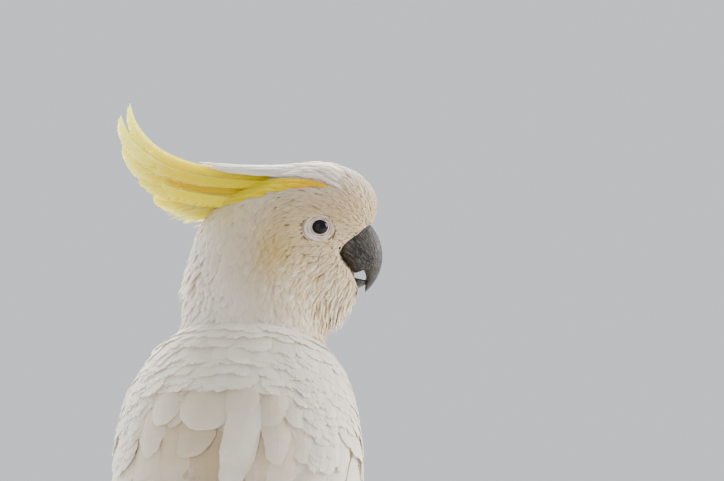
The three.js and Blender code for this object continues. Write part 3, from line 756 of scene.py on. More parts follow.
def plates(count, height, pads):
    """Relief of a toe or shank: plates across the top, as saw teeth along it, and `pads` bulges below."""
    def relief(t, turn):
        top = smooth_step(np.sin(turn), -0.2, 0.5)
        tooth = np.mod(t * count, 1.0)
        edge = smooth_step(tooth, 0.0, 0.25) * (1 - smooth_step(tooth, 0.8, 1.0))
        pad = np.sin(t * pads * math.pi) ** 2 * smooth_step(-np.sin(turn), 0.0, 0.8)
        return 1 + height * top * (edge - 0.5) + 0.08 * pad
    return relief


# %% Legs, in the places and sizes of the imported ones
FOOT_SPREAD, FOOT_Y, SHANK_TOP = 27, -12, 34
TOES = {  # turn outwards from straight ahead in degrees, length, girth, length of claw
    "inner_front": (-14, 27, 8.2, 12), "outer_front": (20, 38, 8.8, 14),
    "outer_back": (152, 36, 8.6, 13), "inner_back": (-166, 22, 7.6, 10),
}
TOE_HEIGHTS = [4.0, 4.0, 3.4, 3.3, 2.9, 2.9, 2.7]  # of the middle line over the floor, root to tip
TOE_GIRTHS = [1.05, 1.0, 0.9, 0.97, 0.84, 0.9, 0.7]  # shares of the girth, thicker at the joints
CLAW_HEIGHTS = [2.8, 3.9, 4.9, 3.9, 1.0]
leg_shapes, claw_shapes = [], []
for side in (-1, 1):
    x = side * FOOT_SPREAD
    path = ORIGIN + np.array([
        (x * 1.02, FOOT_Y - 10, SHANK_TOP + 22), (x, FOOT_Y - 11, SHANK_TOP + 4), (x, FOOT_Y - 8, 22),
        (x, FOOT_Y - 2, 11), (x, FOOT_Y + 1, 3),
    ])
    wide, deep = [7, 5.2, 4.9, 5.6, 6.4], [8, 5.4, 5.2, 6, 6.2]
    rings, _ = tube(path, wide, deep, (1, 0, 0), 60, 28, plates(17, 0.07, 3))
    rings[..., 2] = rings[..., 2].clip(0)
    leg_shapes.append(with_caps(rings, grid_faces(60, 28, wrap=True)))
    for turn, length, girth, claw in TOES.values():
        a = side * math.radians(turn)
        way = np.array([math.sin(a), math.cos(a), 0.0])
        start = ORIGIN + np.array([x, FOOT_Y, 0.0])
        start[2] = 0
        square = (way[1], -way[0], 0)
        reach = [-2, 0.15 * length, 0.3 * length, 0.5 * length, 0.7 * length, 0.9 * length, length]
        path = [start + way * r + UP * h for r, h in zip(reach, TOE_HEIGHTS)]
        half = np.array(TOE_GIRTHS) * girth / 2
        rings, _ = tube(path, half, half * 0.97, square, 64, 24, plates(length / 2.4, 0.1, 3.5))
        rings[..., 2] = rings[..., 2].clip(0)
        leg_shapes.append(with_caps(rings, grid_faces(64, 24, wrap=True)))
        reach = [length - 3, length, length + 0.35 * claw, length + 0.75 * claw, length + claw]
        path = [start + way * r + UP * h for r, h in zip(reach, CLAW_HEIGHTS)]
        rings, growth = tube(path, [2.0, 2.1, 1.7, 1.1, 0.15], [2.2, 2.4, 1.9, 1.2, 0.2], square, 30, 14)
        claw_shapes.append((*with_caps(rings, grid_faces(30, 14, wrap=True)), growth))
leg_points, leg_quads, leg_triangles = gather(leg_shapes)
print("legs and toes:", len(leg_shapes), "tubes; claws:", len(claw_shapes))

# %% The skin and legs as one piece, each with its own finish
# painted light: the skin is made paler than the coat, against the shade that falls in the gaps between
# feathers
BETWEEN_FEATHERS = 1.1  # the skin is a little paler than the coat, so that gaps don't look like pits
skin_shape = skin_points, skin_quads, np.zeros((0, 3), int)
points, quads, triangles = gather([skin_shape, (leg_points, leg_quads, leg_triangles)])
own_tint = body_tint(points, np.zeros((len(points), 1, 1))).reshape(-1, 3) * BETWEEN_FEATHERS
skin = add_mesh("skin", points, quads, DOWN, tint=own_tint, triangles=triangles)
skin.data.materials.append(LEG_SKIN)
finishes = np.zeros(len(skin.data.polygons), np.int32)
finishes[len(skin_quads):] = 1
skin.data.polygons.foreach_set("material_index", finishes)
finish_piece(skin, "leg_skin", "head", "neck", "trunk", "thigh_left", "thigh_right",
             "shank_left", "shank_right", "foot_left", "foot_right")

# %% Claws
points, quads, triangles = gather([shape[:3] for shape in claw_shapes])
growth = np.concatenate([np.concatenate([g.reshape(-1, 2), [[0, 0], [0, 3]]]) for *_, g in claw_shapes])
claws = add_mesh("claws", points, quads, CLAW_HORN, uv={"Growth": growth}, triangles=triangles)
finish_piece(claws, "claw", *[f"claw_{s}_{toe}" for s in ("left", "right") for toe in TOES])

# %% [markdown]
# ## The bill
# The upper bill is a deep hook. Its ridge is nearly an arc of a circle, and its cutting edge has a step:
# a lobe, then the notch where seeds are held, then the hook. Sections are carried from the root to the tip
# between those two curves. The lower bill is a short scoop that closes behind the hook.

# %% Upper and lower bill
RIDGE = (32.3, -18.4, 29.5, 66, -52)  # centre forward and up, radius, first and last angle
CUTTING_EDGE = [
    (27, -11), (32.8, -17.5), (35.6, -21.5), (40.2, -27), (44, -29),
    (47.2, -28.4), (49.6, -27.6), (51.2, -31), (50.8, -36), (50.6, -41.2),
]
BILL_HALF_WIDTH = 10.5


def upper_bill(rows=120, columns=64):
    """Ovals between the ridge and the cutting edge: half their distance up and down, and to the sides a
    half-width that falls to nothing at the tip, fuller towards the cutting edge and flattened on the side."""
    t = np.linspace(0, 0.992, rows)[:, None]
    turn = np.linspace(0, 2 * math.pi, columns, endpoint=False)[None]
    angle = np.radians(RIDGE[3] + (RIDGE[4] - RIDGE[3]) * t[:, 0])
    top = np.stack([RIDGE[0] + RIDGE[2] * np.cos(angle), RIDGE[1] + RIDGE[2] * np.sin(angle)], axis=1)
    low = spline(CUTTING_EDGE, t[:, 0])
    middle, half = (top + low) / 2, (top - low) / 2
    wide = BILL_HALF_WIDTH * np.sqrt((1 - t**2.2).clip(0)) * (1 - 0.25 * t)
    wide = wide * (0.92 + 0.08 * smooth_step(t, 0, 0.14))
    flat = np.sign(np.sin(turn)) * np.abs(np.sin(turn)) ** 0.85
    wave = 1 + 0.012 * np.sin(26 * t + 2.0 * np.cos(turn)) * (1 - t)
    left = wide * flat * (1 - 0.28 * np.cos(turn)) * wave
    place = middle[:, None] + half[:, None] * np.cos(turn)[..., None]
    growth = np.stack(np.broadcast_arrays(turn / math.pi, t * 2.4), axis=-1)
    return head_point(place[..., 0], left, place[..., 1]), growth


rings, growth = upper_bill()
tip = head_point(CUTTING_EDGE[-1][0], 0, CUTTING_EDGE[-1][1] - 0.2)
points, quads, triangles = with_caps(rings, grid_faces(*rings.shape[:2], wrap=True), end=tip)
growth = np.concatenate([growth.reshape(-1, 2), [[0, 0], [0, 2.4]]])
bill_upper = add_mesh("bill_upper", points, quads, BILL_HORN, uv={"Growth": growth}, triangles=triangles)
finish_piece(bill_upper, "bill", "bill_upper")

SCOOP = [(20, -34), (34, -35.4), (43, -35.2), (48.6, -34.7), (51.4, -34.1)]
path = [head_point(forward, 0, up) for forward, up in SCOOP]


def scoop_relief(t, turn):
    """The scoop's top is hollowed, so that its edges stand up as thin lips."""
    return 1 - 0.3 * smooth_step(np.sin(turn), 0.6, 1.0) * smooth_step(t, 0.35, 0.6)


rings, growth = tube(path, [9, 8.6, 8, 6.6, 3.4], [5, 5, 4.8, 2.9, 1.5], LEFT, 50, 40, scoop_relief)
points, quads, triangles = with_caps(rings, grid_faces(50, 40, wrap=True))
growth = np.concatenate([growth.reshape(-1, 2), [[0, 0], [0, 3]]])
bill_lower = add_mesh("bill_lower", points, quads, BILL_HORN, uv={"Growth": growth}, triangles=triangles)
finish_piece(bill_lower, "bill", "bill_lower")

# %% [markdown]
# ## Eyes and their bare rings
# The eyeball is dark and wet, with a cornea that bulges a little. Round it lies a ring of bare, pale skin:
# a raised rim on the lid's edge, then folds that run round the eye like ripples, out to an oval border
# where the small face feathers start.

# %% Eyeballs
LID_RADIUS = 4.95  # the opening between the lids
RING_MIDDLE, RING_SIZE = (-1.1, -1.1), (11.2, 9.8)  # the ring's oval, from the eye, forward and up
FOLD_SHADE, FOLD_LIGHT = np.array((0.30, 0.215, 0.155)), np.array((0.63, 0.53, 0.44))
LID_EDGE = np.array((0.12, 0.1, 0.09))


def eyeball(side, rows=40, columns=64):
    """A ball, with a low bulge for the cornea within 50 degrees of the way it looks."""
    tilt = np.linspace(0.01, math.pi - 0.01, rows)[:, None]
    turn = np.linspace(0, 2 * math.pi, columns, endpoint=False)[None]
    radius = EYE_RADIUS + 0.25 * (1 - smooth_step(np.degrees(tilt), 20, 52))
    out = radius * np.cos(tilt) + 0 * turn
    forward, up = radius * np.sin(tilt) * np.cos(turn), radius * np.sin(tilt) * np.sin(turn)
    return head_point(EYE_FORWARD + forward, side * (EYE_OUT + out), EYE_UP + up)


def surface_out(forward, up, side, level, start=2.0):
    """How far out to the side the plumage's level lies over each place of the head, by halving."""
    low, high = np.full(forward.shape, start), np.full(forward.shape, 45.0)
    for _ in range(22):
        middle = (low + high) / 2
        inside = plumage_level(head_point(forward, side * middle, up))[0] < level
        low, high = np.where(inside, middle, low), np.where(inside, high, middle)
    return (low + high) / 2


def eye_ring(side, rows=70, columns=128):
    """From the lid's edge (share 0) to the oval border (share 1). Height is the head's surface, lifted to
    the eyeball near the lid, with a rounded rim at share 0.06 and folds as a wave that is sharper below."""
    share = np.linspace(0, 1, rows)[:, None]
    turn = np.linspace(0, 2 * math.pi, columns, endpoint=False)[None]
    outer = [RING_MIDDLE[0] + RING_SIZE[0] * np.cos(turn), RING_MIDDLE[1] + RING_SIZE[1] * np.sin(turn)]
    inner = [LID_RADIUS * np.cos(turn), 0.9 * LID_RADIUS * np.sin(turn)]
    forward, up = [a + (b - a) * share for a, b in zip(inner, outer)]
    skin_out = surface_out(EYE_FORWARD + forward, EYE_UP + up, side, -0.7)
    far = np.hypot(forward, up)
    on_ball = EYE_OUT + np.sqrt((EYE_RADIUS**2 - far.clip(0, EYE_RADIUS - 0.2) ** 2))
    lid = 1 - smooth_step(share, 0.0, 0.22)
    out = skin_out * (1 - lid) + on_ball * lid
    rim = 0.75 * np.exp(-(((share - 0.07) / 0.055) ** 2))
    uneven = 0.5 * np.sin(2 * turn + 0.6) + 0.3 * np.sin(3 * turn + 1) + 0.16 * np.sin(7 * turn + 2)
    uneven = uneven + 0.12 * np.sin(11 * turn + 7 * share)
    phase = 2 * math.pi * (3.1 * share**0.85 + 0.16 * uneven)
    deep = 0.62 + 0.38 * np.sin(turn * 2 + 5 * share + 1) * np.sin(turn * 3 + 2)
    folds = (0.5 + 0.5 * np.cos(phase)) ** 0.55 * smooth_step(share, 0.12, 0.3)
    folds = (1 - deep * (1 - folds)) * (1 - 0.75 * smooth_step(share, 0.75, 1))
    wrinkles = 0.05 * np.sin(46 * turn + 9 * share) * smooth_step(share, 0.1, 0.3)
    out = out + rim + 0.5 * folds + wrinkles - 1.4 * smooth_step(share, 0.86, 1.0)
    light = smooth_step(folds + 0.9 * np.exp(-(((share - 0.06) / 0.07) ** 2)), 0.35, 0.9)
    tint = mix(FOLD_SHADE, FOLD_LIGHT, light)
    tint = mix(tint, LID_EDGE, 0.8 * np.exp(-((share / 0.03) ** 2)))
    return head_point(EYE_FORWARD + forward, side * out, EYE_UP + up), tint


for name, side in (("left", 1), ("right", -1)):
    order = -side  # a grid turns the other way round on the left, so its faces are reversed there
    rings = eyeball(side)
    points, quads, triangles = with_caps(rings, grid_faces(*rings.shape[:2], wrap=True))
    quads, triangles = quads[:, ::order], triangles[:, ::order]
    eye = add_mesh(f"eye_{name}", points, quads, CORNEA, triangles=triangles)
    finish_piece(eye, "eye", f"eye_{name}")
    rings, tint = eye_ring(side)
    quads = grid_faces(*rings.shape[:2], wrap=True)[:, ::order]
    ring = add_mesh(f"eye_ring_{name}", rings, quads, RING_SKIN, tint=tint)
    finish_piece(ring, "white_feathers")

# %% [markdown]
# ## A feather, and how feathers are laid
# A feather is a thin, slightly hollowed blade. It is narrow where it leaves the skin, widens quickly, and
# ends in a round tip whose barbs part a little, so its edge is a fine comb. Each is a small grid of points.
# Particle hair could not be kept as mesh, and flat cards with pictures would look painted on, so every
# feather is shaped. They are laid by walking from each root along the lie of the plumage, a step at a
# time, while the level rises from the skin to the outside: that makes each one cover the next.

# %% The shape of many feathers at once
def feather_grid(count, rows, columns, round_tip=0.3, fray=0.12, neck=0.35, point=0.25):
    """Shares along (0 root to 1 tip) and across (-1 to 1 times the half width) for a count of feathers.
    Each column of points ends at 1 - round_tip |u|^2.4 - fray times a random tooth, every second tooth
    being deep. Width rises from `neck` at the root to 1, and falls by `point` towards the tip."""
    u = np.linspace(-1, 1, columns)
    tooth = rng.random((count, columns)) * np.where(np.arange(columns) % 2, 1.0, 0.3)
    ends = 1 - round_tip * np.abs(u) ** 2.4 - fray * tooth
    along = np.linspace(0, 1, rows)[None, :, None] * ends[:, None, :]
    width = (neck + (1 - neck) * smooth_step(along, 0, 0.45)) * (1 - point * smooth_step(along, 0.55, 1.0))
    return along, u * width


def between_steps(values, along):
    """Values known at even steps (count, steps, ...), read at shares along (count, rows, columns)."""
    steps = values.shape[1]
    x = along.clip(0, 1) * (steps - 1)
    i = np.minimum(x.astype(int), steps - 2)
    pick = np.arange(len(values))[:, None, None]
    share = (x - i).reshape(x.shape + (1,) * (values.ndim - 2))
    return values[pick, i] * (1 - share) + values[pick, i + 1] * share


def lie(points):
    """The way feathers point: away from the bill over the head, then down the neck and along the body to
    the tail, and down the legs."""
    local = on_head(points)
    away = unit(local - np.array([54.0, 0, -2])) @ HEAD_AXES
    slope = np.radians(np.interp(points[..., 2], [75, 100, 150, 240], [64, 58, 34, 10]))
    leg = smooth_step(np.abs(points[..., 0]), 8, 18) * smooth_step(-points[..., 2], -88, -60)
    slope = slope * (1 - leg) + 0.15 * leg
    down = np.stack([np.zeros_like(slope), -np.sin(slope), -np.cos(slope)], axis=-1)
    back = smooth_step(-local[..., 0], -30, 45) + smooth_step(-local[..., 2], 30, 70)
    return unit(away * (1 - back.clip(0, 0.85))[..., None] + down * back.clip(0, 1)[..., None])


def walk(roots, length, root_level, tip_level, way=lie, steps=6):
    """Steps of each feather's middle line over the body: places, directions and ways out. Each feather
    sways a little off the lie, partly with its neighbours, which gathers them into tufts."""
    places, ways, outs = [], [], []
    here = roots
    sway = 0.11 * rng.normal(0, 1, len(roots))
    sway = sway + 0.16 * np.sin(roots @ (0.5, 0.3, 0.42)) + 0.12 * np.sin(roots @ (-0.3, 0.6, 0.8) + 1)
    sway = (sway * (way is lie))[:, None]
    for k in range(steps):
        share = k / (steps - 1)
        rise = math.sin(min(1.0, share / 0.75) * math.pi / 2)
        wanted = root_level + (tip_level - root_level) * rise
        here = settle(here, wanted, 1)
        out = plumage_level(here)[1]
        ahead = way(here)
        ahead = unit(ahead - np.sum(ahead * out, axis=1, keepdims=True) * out)
        ahead = ahead * np.cos(sway) + np.cross(out, ahead) * np.sin(sway)
        places.append(here)
        ways.append(ahead)
        outs.append(out)
        here = here + ahead * (length / (steps - 1))[:, None]
    return [np.stack(part, axis=1) for part in (places, ways, outs)]


def drape(roots, length, half_width, root_level, tip_level, shape, way=lie, camber=0.16, raised=0.0):
    """Grids of points for feathers that lie over the body. Half the width goes to each side of the middle
    line, edges hang lower by camber, and each feather has its own small height, so no two coincide.
    raised is how far loose tips stand out."""
    along, across = shape
    places, ways, outs = walk(roots, length, root_level, tip_level, way)
    middle, out = between_steps(places, along), between_steps(outs, along)
    side = unit(np.cross(between_steps(ways, along), out))
    own = rng.normal(0, 0.06, len(roots))[:, None, None]
    points = middle + side * (across * half_width[:, None, None])[..., None]
    rise = np.sin(np.minimum(1, along / 0.75) * math.pi / 2)
    root, tip = [np.broadcast_to(level, len(roots))[:, None, None] for level in (root_level, tip_level)]
    tilt = rng.normal(0, 0.05, len(roots))[:, None, None] * across
    wanted = root + (tip - root) * rise - half_width[:, None, None] * (camber * across**2 - tilt) + own
    loose = (raised * rng.uniform(0.2, 1.0, len(roots)))[:, None, None]
    wanted = wanted + loose * smooth_step(along, 0.35, 1.0)
    level, outward = plumage_level(points)
    return beside_bill(points + (wanted - level)[..., None] * outward)


def many_grids(count, rows, columns):
    """Quads of a count of equal grids, one after the other."""
    quads = grid_faces(rows, columns)[None] + (np.arange(count) * rows * columns)[:, None, None]
    return quads.reshape(-1, 4)


MOST_TRIANGLES = 190000  # in one piece of the coat
PATCH_SIZE = 0.003  # of one feather on the OFBake map


def add_feathers(name, points, shape, half_width, length, tint, unwrap, material, slot, nodes=()):
    """Joins feathers into as few pieces as the largest size allows. Vane holds centimetres across and
    along for the barbs. OFBake gives each feather a small patch at its root's place on the unwrap."""
    along, across = shape
    count, rows, columns = points.shape[:3]
    order = np.argsort(unwrap[:, 1], kind="stable")
    parts = math.ceil(count / (MOST_TRIANGLES // (2 * (rows - 1) * (columns - 1))))
    for k in range(parts):
        pick = order[k * count // parts:(k + 1) * count // parts]
        ends = unwrap[pick].min(0), unwrap[pick].max(0)
        patch = 0.02 + 0.96 * (unwrap[pick] - ends[0]) / (ends[1] - ends[0] + 1e-9)
        local = np.stack([across[pick] * 0.5, along[pick] - 0.5], axis=-1) * PATCH_SIZE
        wide, long_ = half_width[pick, None, None], length[pick, None, None]
        vane = np.stack([across[pick] * wide, along[pick] * long_], -1) * 0.1
        piece = add_mesh(
            name if parts == 1 else f"{name}_{k + 1}", points[pick], many_grids(len(pick), rows, columns),
            material, uv={"OFBake": patch[:, None, None] + local, "Vane": vane}, tint=tint[pick],
        )
        finish_piece(piece, slot, *(nodes if k == 0 else ()))


# %% The skin's unwrap
def unwrap_body(points):
    """The skin unrolled: turn about the spine, and height, with the head's top unrolled on upwards."""
    middle_x = np.interp(points[:, 2], [60, 180, 250, 290], [-2, -2, 6, 19])
    middle_y = np.interp(points[:, 2], [60, 100, 180, 250, 290], [30, 50, 96, 120, 130])
    turn = np.arctan2(points[:, 0] - middle_x, points[:, 1] - middle_y) / (2 * math.pi)
    return np.stack([turn, points[:, 2] / 300], axis=-1)


# %% [markdown]
# ## Roots spread over the skin
# Feathers are smallest and closest round the bill and eyes and largest on the breast and belly. Roots are
# drawn at random over the skin's area and thinned so that none is nearer its neighbour than the spacing
# there. None grow on the bill, the eye rings, the bare legs, or where the folded wings hide the body.

# %% Spread and thin the roots
def spacing_at(points):
    """Distance between neighbouring roots, in mm."""
    far = head_distance(points)
    size = 1.25 + 0.75 * smooth_step(far, 12, 50) + 0.7 * smooth_step(far, 55, 95)
    size = size + 4.7 * smooth_step(far, 95, 175)
    leg = smooth_step(-points[:, 2], -62, -38)
    return size - (size - 3.6) * leg


def ring_share(points, overlap):
    """Distance from the eye ring's middle as a share of its oval, which is taken smaller by the overlap.
    It is large near the head's middle plane, where there is no ring."""
    local = on_head(points)
    forward = (local[:, 0] - EYE_FORWARD - RING_MIDDLE[0]) / (RING_SIZE[0] - overlap)
    up = (local[:, 2] - EYE_UP - RING_MIDDLE[1]) / (RING_SIZE[1] - overlap)
    return np.hypot(forward, up) + 9.0 * (np.abs(local[:, 1]) <= 6)


def feathered(points):
    """1 where body feathers grow, 0 on the bill's root, the eye rings and the bare legs."""
    local = on_head(points)
    bare = ring_share(points, 1.0) < 1
    heights = [-40, -16.1, -16, -11.2, -7.4, -4.3, -1.3, 2.1, 3.4]
    border = np.interp(local[:, 2], heights, [47, 42, 33.6, 36.6, 41.2, 45.7, 48.8, 51.8, 60])
    bare |= (local[:, 0] > border + 0.6) & (local[:, 2] < 3.4) & (local[:, 2] > -42)
    bare |= points[:, 2] < SHANK_TOP + 1
    return ~bare


corners = full_points[skin_quads]
area = np.linalg.norm(np.cross(corners[:, 2] - corners[:, 0], corners[:, 3] - corners[:, 1]), axis=1) / 2
middles = corners.mean(1)
on_body = (np.abs(plumage_level(middles)[0] + coat_depth(middles)) < 1.2) & feathered(middles)
for i in np.flatnonzero(on_body):
    _, j, gap = shell_tree.find(middles[i])
    row, column = divmod(j, NET_COLUMNS)
    on_body[i] = row < 7 or gap > WING_REACH or not 3 < column < 57
chance = area / spacing_at(middles) ** 2 * on_body
draws = rng.choice(len(chance), int(7 * chance.sum()), p=chance / chance.sum())
a, b = rng.random((2, len(draws), 1))
drawn = corners[draws]
drawn = (drawn[:, 0] * (1 - a) + drawn[:, 1] * a) * (1 - b) + (drawn[:, 3] * (1 - a) + drawn[:, 2] * a) * b
tree = KDTree(len(drawn))
for i, place in enumerate(drawn):
    tree.insert(place, i)
tree.balance()
kept, gaps = np.ones(len(drawn), bool), spacing_at(drawn)
for i in range(len(drawn)):
    if kept[i]:
        for _, j, _ in tree.find_range(drawn[i], gaps[i]):
            kept[j] &= j <= i
roots, spacing = drawn[kept], gaps[kept]
far = head_distance(roots)
print("roots:", len(roots), "of them within 60 mm of the bill:", int((far < 60).sum()))

# %% Keep tufts off the eye rings
def keep_off_rings(roots, length):
    """Shorter lengths where a feather's middle line would run over the bare ring round an eye."""
    for share in (0.5, 0.75, 1.0):
        for _ in range(4):
            over = ring_share(roots + lie(roots) * (length * share)[:, None], 0.8) < 1.0
            length = np.where(over, length * 0.75, length)
    return length


# %% Head, neck and body feathers
def on_collar(points):
    """1 where the neck's strands give way to the round feathers of its base, from ruff to mantle."""
    local = on_head(points)
    line = np.interp(local[:, 0], [-60, -34, 8, 22, 30], [-42, -49, -58, -62, -90])
    return ((local[:, 2] < line) & (head_distance(points) < 108)).astype(float)


def looseness(points):
    """How far tufts stand out: the fringe under the bill and cheek, and the shaggy nape."""
    local = on_head(points)
    forward, up = local[:, 0], local[:, 2]
    chin = round_patch(forward, up, (37, -46), (14, 9))
    nape = smooth_step(-forward, 40, 56) * np.exp(-(((up + 28) / 16) ** 2))
    shank = smooth_step(-points[:, 2], -78, -62)
    return 7.5 * chin + 4.5 * nape + 1.1 * on_collar(points) + 4.0 * shank


KINDS = {  # nearest and farthest from the bill, rows, columns, tip's rounding, fray, length over spacing,
    # half width over spacing, level at the root and level at the tip
    "face_feathers": (0, 62, 5, 7, 0.5, 0.5, 5.2, 0.82, -0.55, 0.1),
    "neck_feathers": (62, 100, 6, 9, 0.5, 0.3, 4.4, 1.2, -0.5, 0.12),
    "collar_feathers": (0, 900, 7, 11, 0.35, 0.16, 4.2, 1.1, -1.3, 0.3),
    "body_feathers": (100, 900, 7, 13, 0.3, 0.1, 3.6, 0.9, -1.5, 0.15),
}
for name, (nearest, farthest, rows, columns, round_tip, fray, long_, wide, low, high) in KINDS.items():
    own_kind = (on_collar(roots) > 0) == name.startswith("collar")
    own_kind &= (far >= nearest) & (far < farthest)
    at, step = roots[own_kind], spacing[own_kind]
    count, loose = len(at), looseness(at)
    length = step * long_ * rng.normal(1, 0.12, count) * (1 + 0.12 * loose)
    half_width = step * wide * rng.normal(1, 0.1, count)
    length = keep_off_rings(at, length)
    shape = feather_grid(count, rows, columns, round_tip, fray, 0.4, 0.4 if fray > 0.2 else 0.15)
    tip_level = rng.normal(high, 0.08, count)
    points = drape(at, length, half_width, low, tip_level, shape, camber=0.1, raised=loose)
    add_feathers(name, points, shape, half_width, length, body_tint(at, shape[0]), unwrap_body(at),
                 SOFT_VANE, "white_feathers")

# %% [markdown]
# ## Feathers of the wings and the mantle
# The folded wing is a stack of tracts. The long flight feathers lie deepest, then the greater, median and
# lesser coverts, each row over the bases of the one behind it. The mantle and the big rounded scapulars
# cloak the shoulders and hide where the wings meet. They are laid in the shell's own two numbers.

# %% Laying feathers on the shell
PAST_END = 300  # mm per unit along, for what runs past the shell's end


def shell_feathers(along, angle, heading, length, half_width, sink, shape, bend=0.0, camber=0.1, curl=0.0,
                   steady=False, ripple=0.0):
    """Grids of points for feathers on the shell, all arguments being one value per feather. Each middle
    line walks from (along, angle) at `heading` degrees off the shell's length, turning by `bend` degrees on
    its way. sink is its depth at root and tip, edges hang lower by camber, and curl twists one side up. A
    steady rise parts the rows clearly. Ripples of this height run out from the shaft along the barbs."""
    share, across = shape
    s, phi = np.array(along, float), np.array(angle, float)
    turn = np.radians(np.broadcast_to(heading, s.shape).astype(float))
    line, steps = [], 9
    for k in range(steps):
        _, forth, round_, _ = shell_frame(s, phi)
        forth, round_ = np.linalg.norm(forth, axis=1), np.linalg.norm(round_, axis=1)
        line.append(np.stack([s, phi, turn, forth, round_], axis=-1))
        step = length / (steps - 1)
        s, phi = s + np.cos(turn) * step / forth, phi + np.sin(turn) * step / round_
        turn = turn + np.radians(bend) / (steps - 1)
    s, phi, turn, forth, round_ = np.moveaxis(between_steps(np.stack(line, axis=1), share), -1, 0)
    wide = across * half_width[:, None, None]
    s, phi = s - np.sin(turn) * wide / forth, phi + np.cos(turn) * wide / round_
    root, tip = [np.broadcast_to(value, len(share))[:, None, None] for value in sink]
    rise = share**0.85 if steady else np.sin(np.minimum(1, share / 0.8) * math.pi / 2)
    depth = root + (tip - root) * rise
    barb = share * length[:, None, None] - 0.9 * np.abs(wide)
    beat = rng.uniform(0, 6, (len(share), 1, 1))
    ripples = np.sin(barb * 1.5 + beat + 2 * np.sin(barb * 0.33 + beat))
    depth = depth - ripple * ripples * np.abs(across) * share
    own = rng.normal(0, 0.22, len(share))[:, None, None]
    twist = np.broadcast_to(curl, len(share))[:, None, None] * smooth_step(share, 0.3, 1.0) * across
    tilt = rng.normal(0, 0.05, len(share))[:, None, None] * across
    depth = depth + half_width[:, None, None] * (camber * across**2 + tilt - twist) + own
    past = (s - 1).clip(0)[..., None] * PAST_END  # tips that run past the shell go straight on
    end = unit(shell(1.0, 90.0) - shell(0.98, 90.0))
    return shell(s.clip(0, 1), phi, depth) + past * end


HOLLOW_SHADE = np.array((0.24, 0.31, 0.42))  # light lost in the hollow of the back


def wing_tint(count, share, low=0.9, along=0.0, angle=0.0):
    """White, with a random tone for each feather, some of it warm, and painted shade that makes each base
    greyer and warmer. The hollow of the back is painted darker and browner, as warm shade."""
    tone = 1 + rng.normal(0, 0.02, count)
    # painted warm shade over the hollow of the back
    hollow = np.exp(-(((np.asarray(angle) - 92) / 42) ** 2)) * smooth_step(np.asarray(along), 0.1, 0.25)
    warm = (0.2 + 0.25 * rng.random(count) + 0.6 * hollow)[:, None, None]
    # painted warm shade, stronger towards each base
    warm = warm * (1.3 - 0.6 * smooth_step(share, 0.2, 1.0))
    shade = low + (1 - low) * smooth_step(share, 0.1, 0.6)
    warmest = WARM * (1 - HOLLOW_SHADE * np.broadcast_to(hollow, count)[:, None, None, None])
    return mix(WHITE, warmest, warm.clip(0, 1)) * (tone[:, None, None] * shade)[..., None]


def staggered(first, last, row_step, column_step, low, high, jitter=0.2):
    """Roots in rows along the shell, every second row moved half a step, like tiles. Steps are in mm, and
    low and high are the angles where rows begin and end, as functions of the place along."""
    places = []
    rows = max(1, round((last - first) * SHELL_LENGTH / row_step))
    for k in range(rows):
        s = first + (last - first) * (k + 0.5) / rows
        start, stop = low(s), high(s)
        line = shell(s, np.linspace(start, stop, 9))
        count = max(2, round(np.linalg.norm(line[1:] - line[:-1], axis=1).sum() / column_step))
        angle = start + (stop - start) * (np.arange(count) + 0.25 + 0.5 * (k % 2)) / count
        places.append(np.stack([np.full(count, s), angle], axis=-1))
    places = np.concatenate(places)
    places[:, 0] += rng.normal(0, jitter * row_step / SHELL_LENGTH, len(places))
    places[:, 1] += rng.normal(0, jitter * column_step / 1.1, len(places))
    return places


def lower_edge(s):
    """The angle at which the right wing begins, at this place along."""
    return float(spline(SHELL_LOW, s))


def upper_edge(s):
    """The angle at which the right wing ends, near the middle of the back."""
    return float(spline(SHELL_HIGH, s))


def on_shell(angle, s):
    """The wing coat's unwrap: the shell rolled out flat."""
    return np.stack([angle / 260, s], axis=-1)


# %% Flight feathers and coverts of both wings
WING_TRACTS = {  # roots from and to along the shell, row and column steps, start and end angle past the
    # wing's edges, heading, bend, length, half width, depth at root and tip, rows, columns, fray
    "primaries": ((0.36, 0.44, 30, 6.0), (2, -8), 2, 2, 172, 9.5, (6.0, 1.4), 22, 9, 0.02),
    "secondaries": ((0.36, 0.42, 22, 7.5), (6, -4), 3, 0, 98, 10.5, (4.8, 1.7), 16, 9, 0.03),
    "greater_coverts": ((0.31, 0.345, 20, 8.0), (2, -6), 2, 0, 42, 9.5, (3.2, 0.8), 12, 11, 0.02),
    "median_coverts": ((0.25, 0.28, 20, 7.0), (2, -6), 0, 0, 26, 8.2, (2.2, 0.3), 9, 13, 0.05),
    "lesser_coverts": ((0.0, 0.262, 4.4, 6.4), (0, 2), 0, 0, 14.5, 5.2, (1.3, -0.1), 6, 9, 0.12),
}
LONGEST_COVERT = 60  # mm
CAD_WINGS = {"primaries": "primaries", "secondaries": "wing"}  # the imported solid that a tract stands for
for name, (area, edges, heading, bend, length, wide, sink, rows, columns, fray) in WING_TRACTS.items():
    roots = staggered(*area, lambda s: lower_edge(s) + edges[0], lambda s: upper_edge(s) + edges[1])
    s, count, covert = roots[:, 0], len(roots), length < LONGEST_COVERT
    # each flight feather lies over the one outside it
    step = 0 if covert else (roots[:, 1] - roots[:, 1].min()) / 60
    for wing, hand in (("right", 1), ("left", -1)):
        angle = roots[:, 1] if hand > 0 else 180 - roots[:, 1]
        own = rng.normal(1, 0.05, count)
        turn = rng.normal(heading, 3.0 if covert else 1.0, count) * hand
        shape = feather_grid(count, rows, columns, 0.26 if covert else 0.09, fray, 0.4, 0.12)
        points = shell_feathers(
            s, angle, turn, length * own, wide * own, (sink[0] - step, sink[1] - step), shape, bend * hand,
            steady=covert,
        )
        add_feathers(
            f"{name}_{wing}", points, shape, wide * own, length * own,
            wing_tint(count, shape[0], 0.9, s, angle), on_shell(angle, s), WHITE_VANE, "white_feathers",
            [f"{CAD_WINGS[name]}_{wing}"] if name in CAD_WINGS else [],
        )

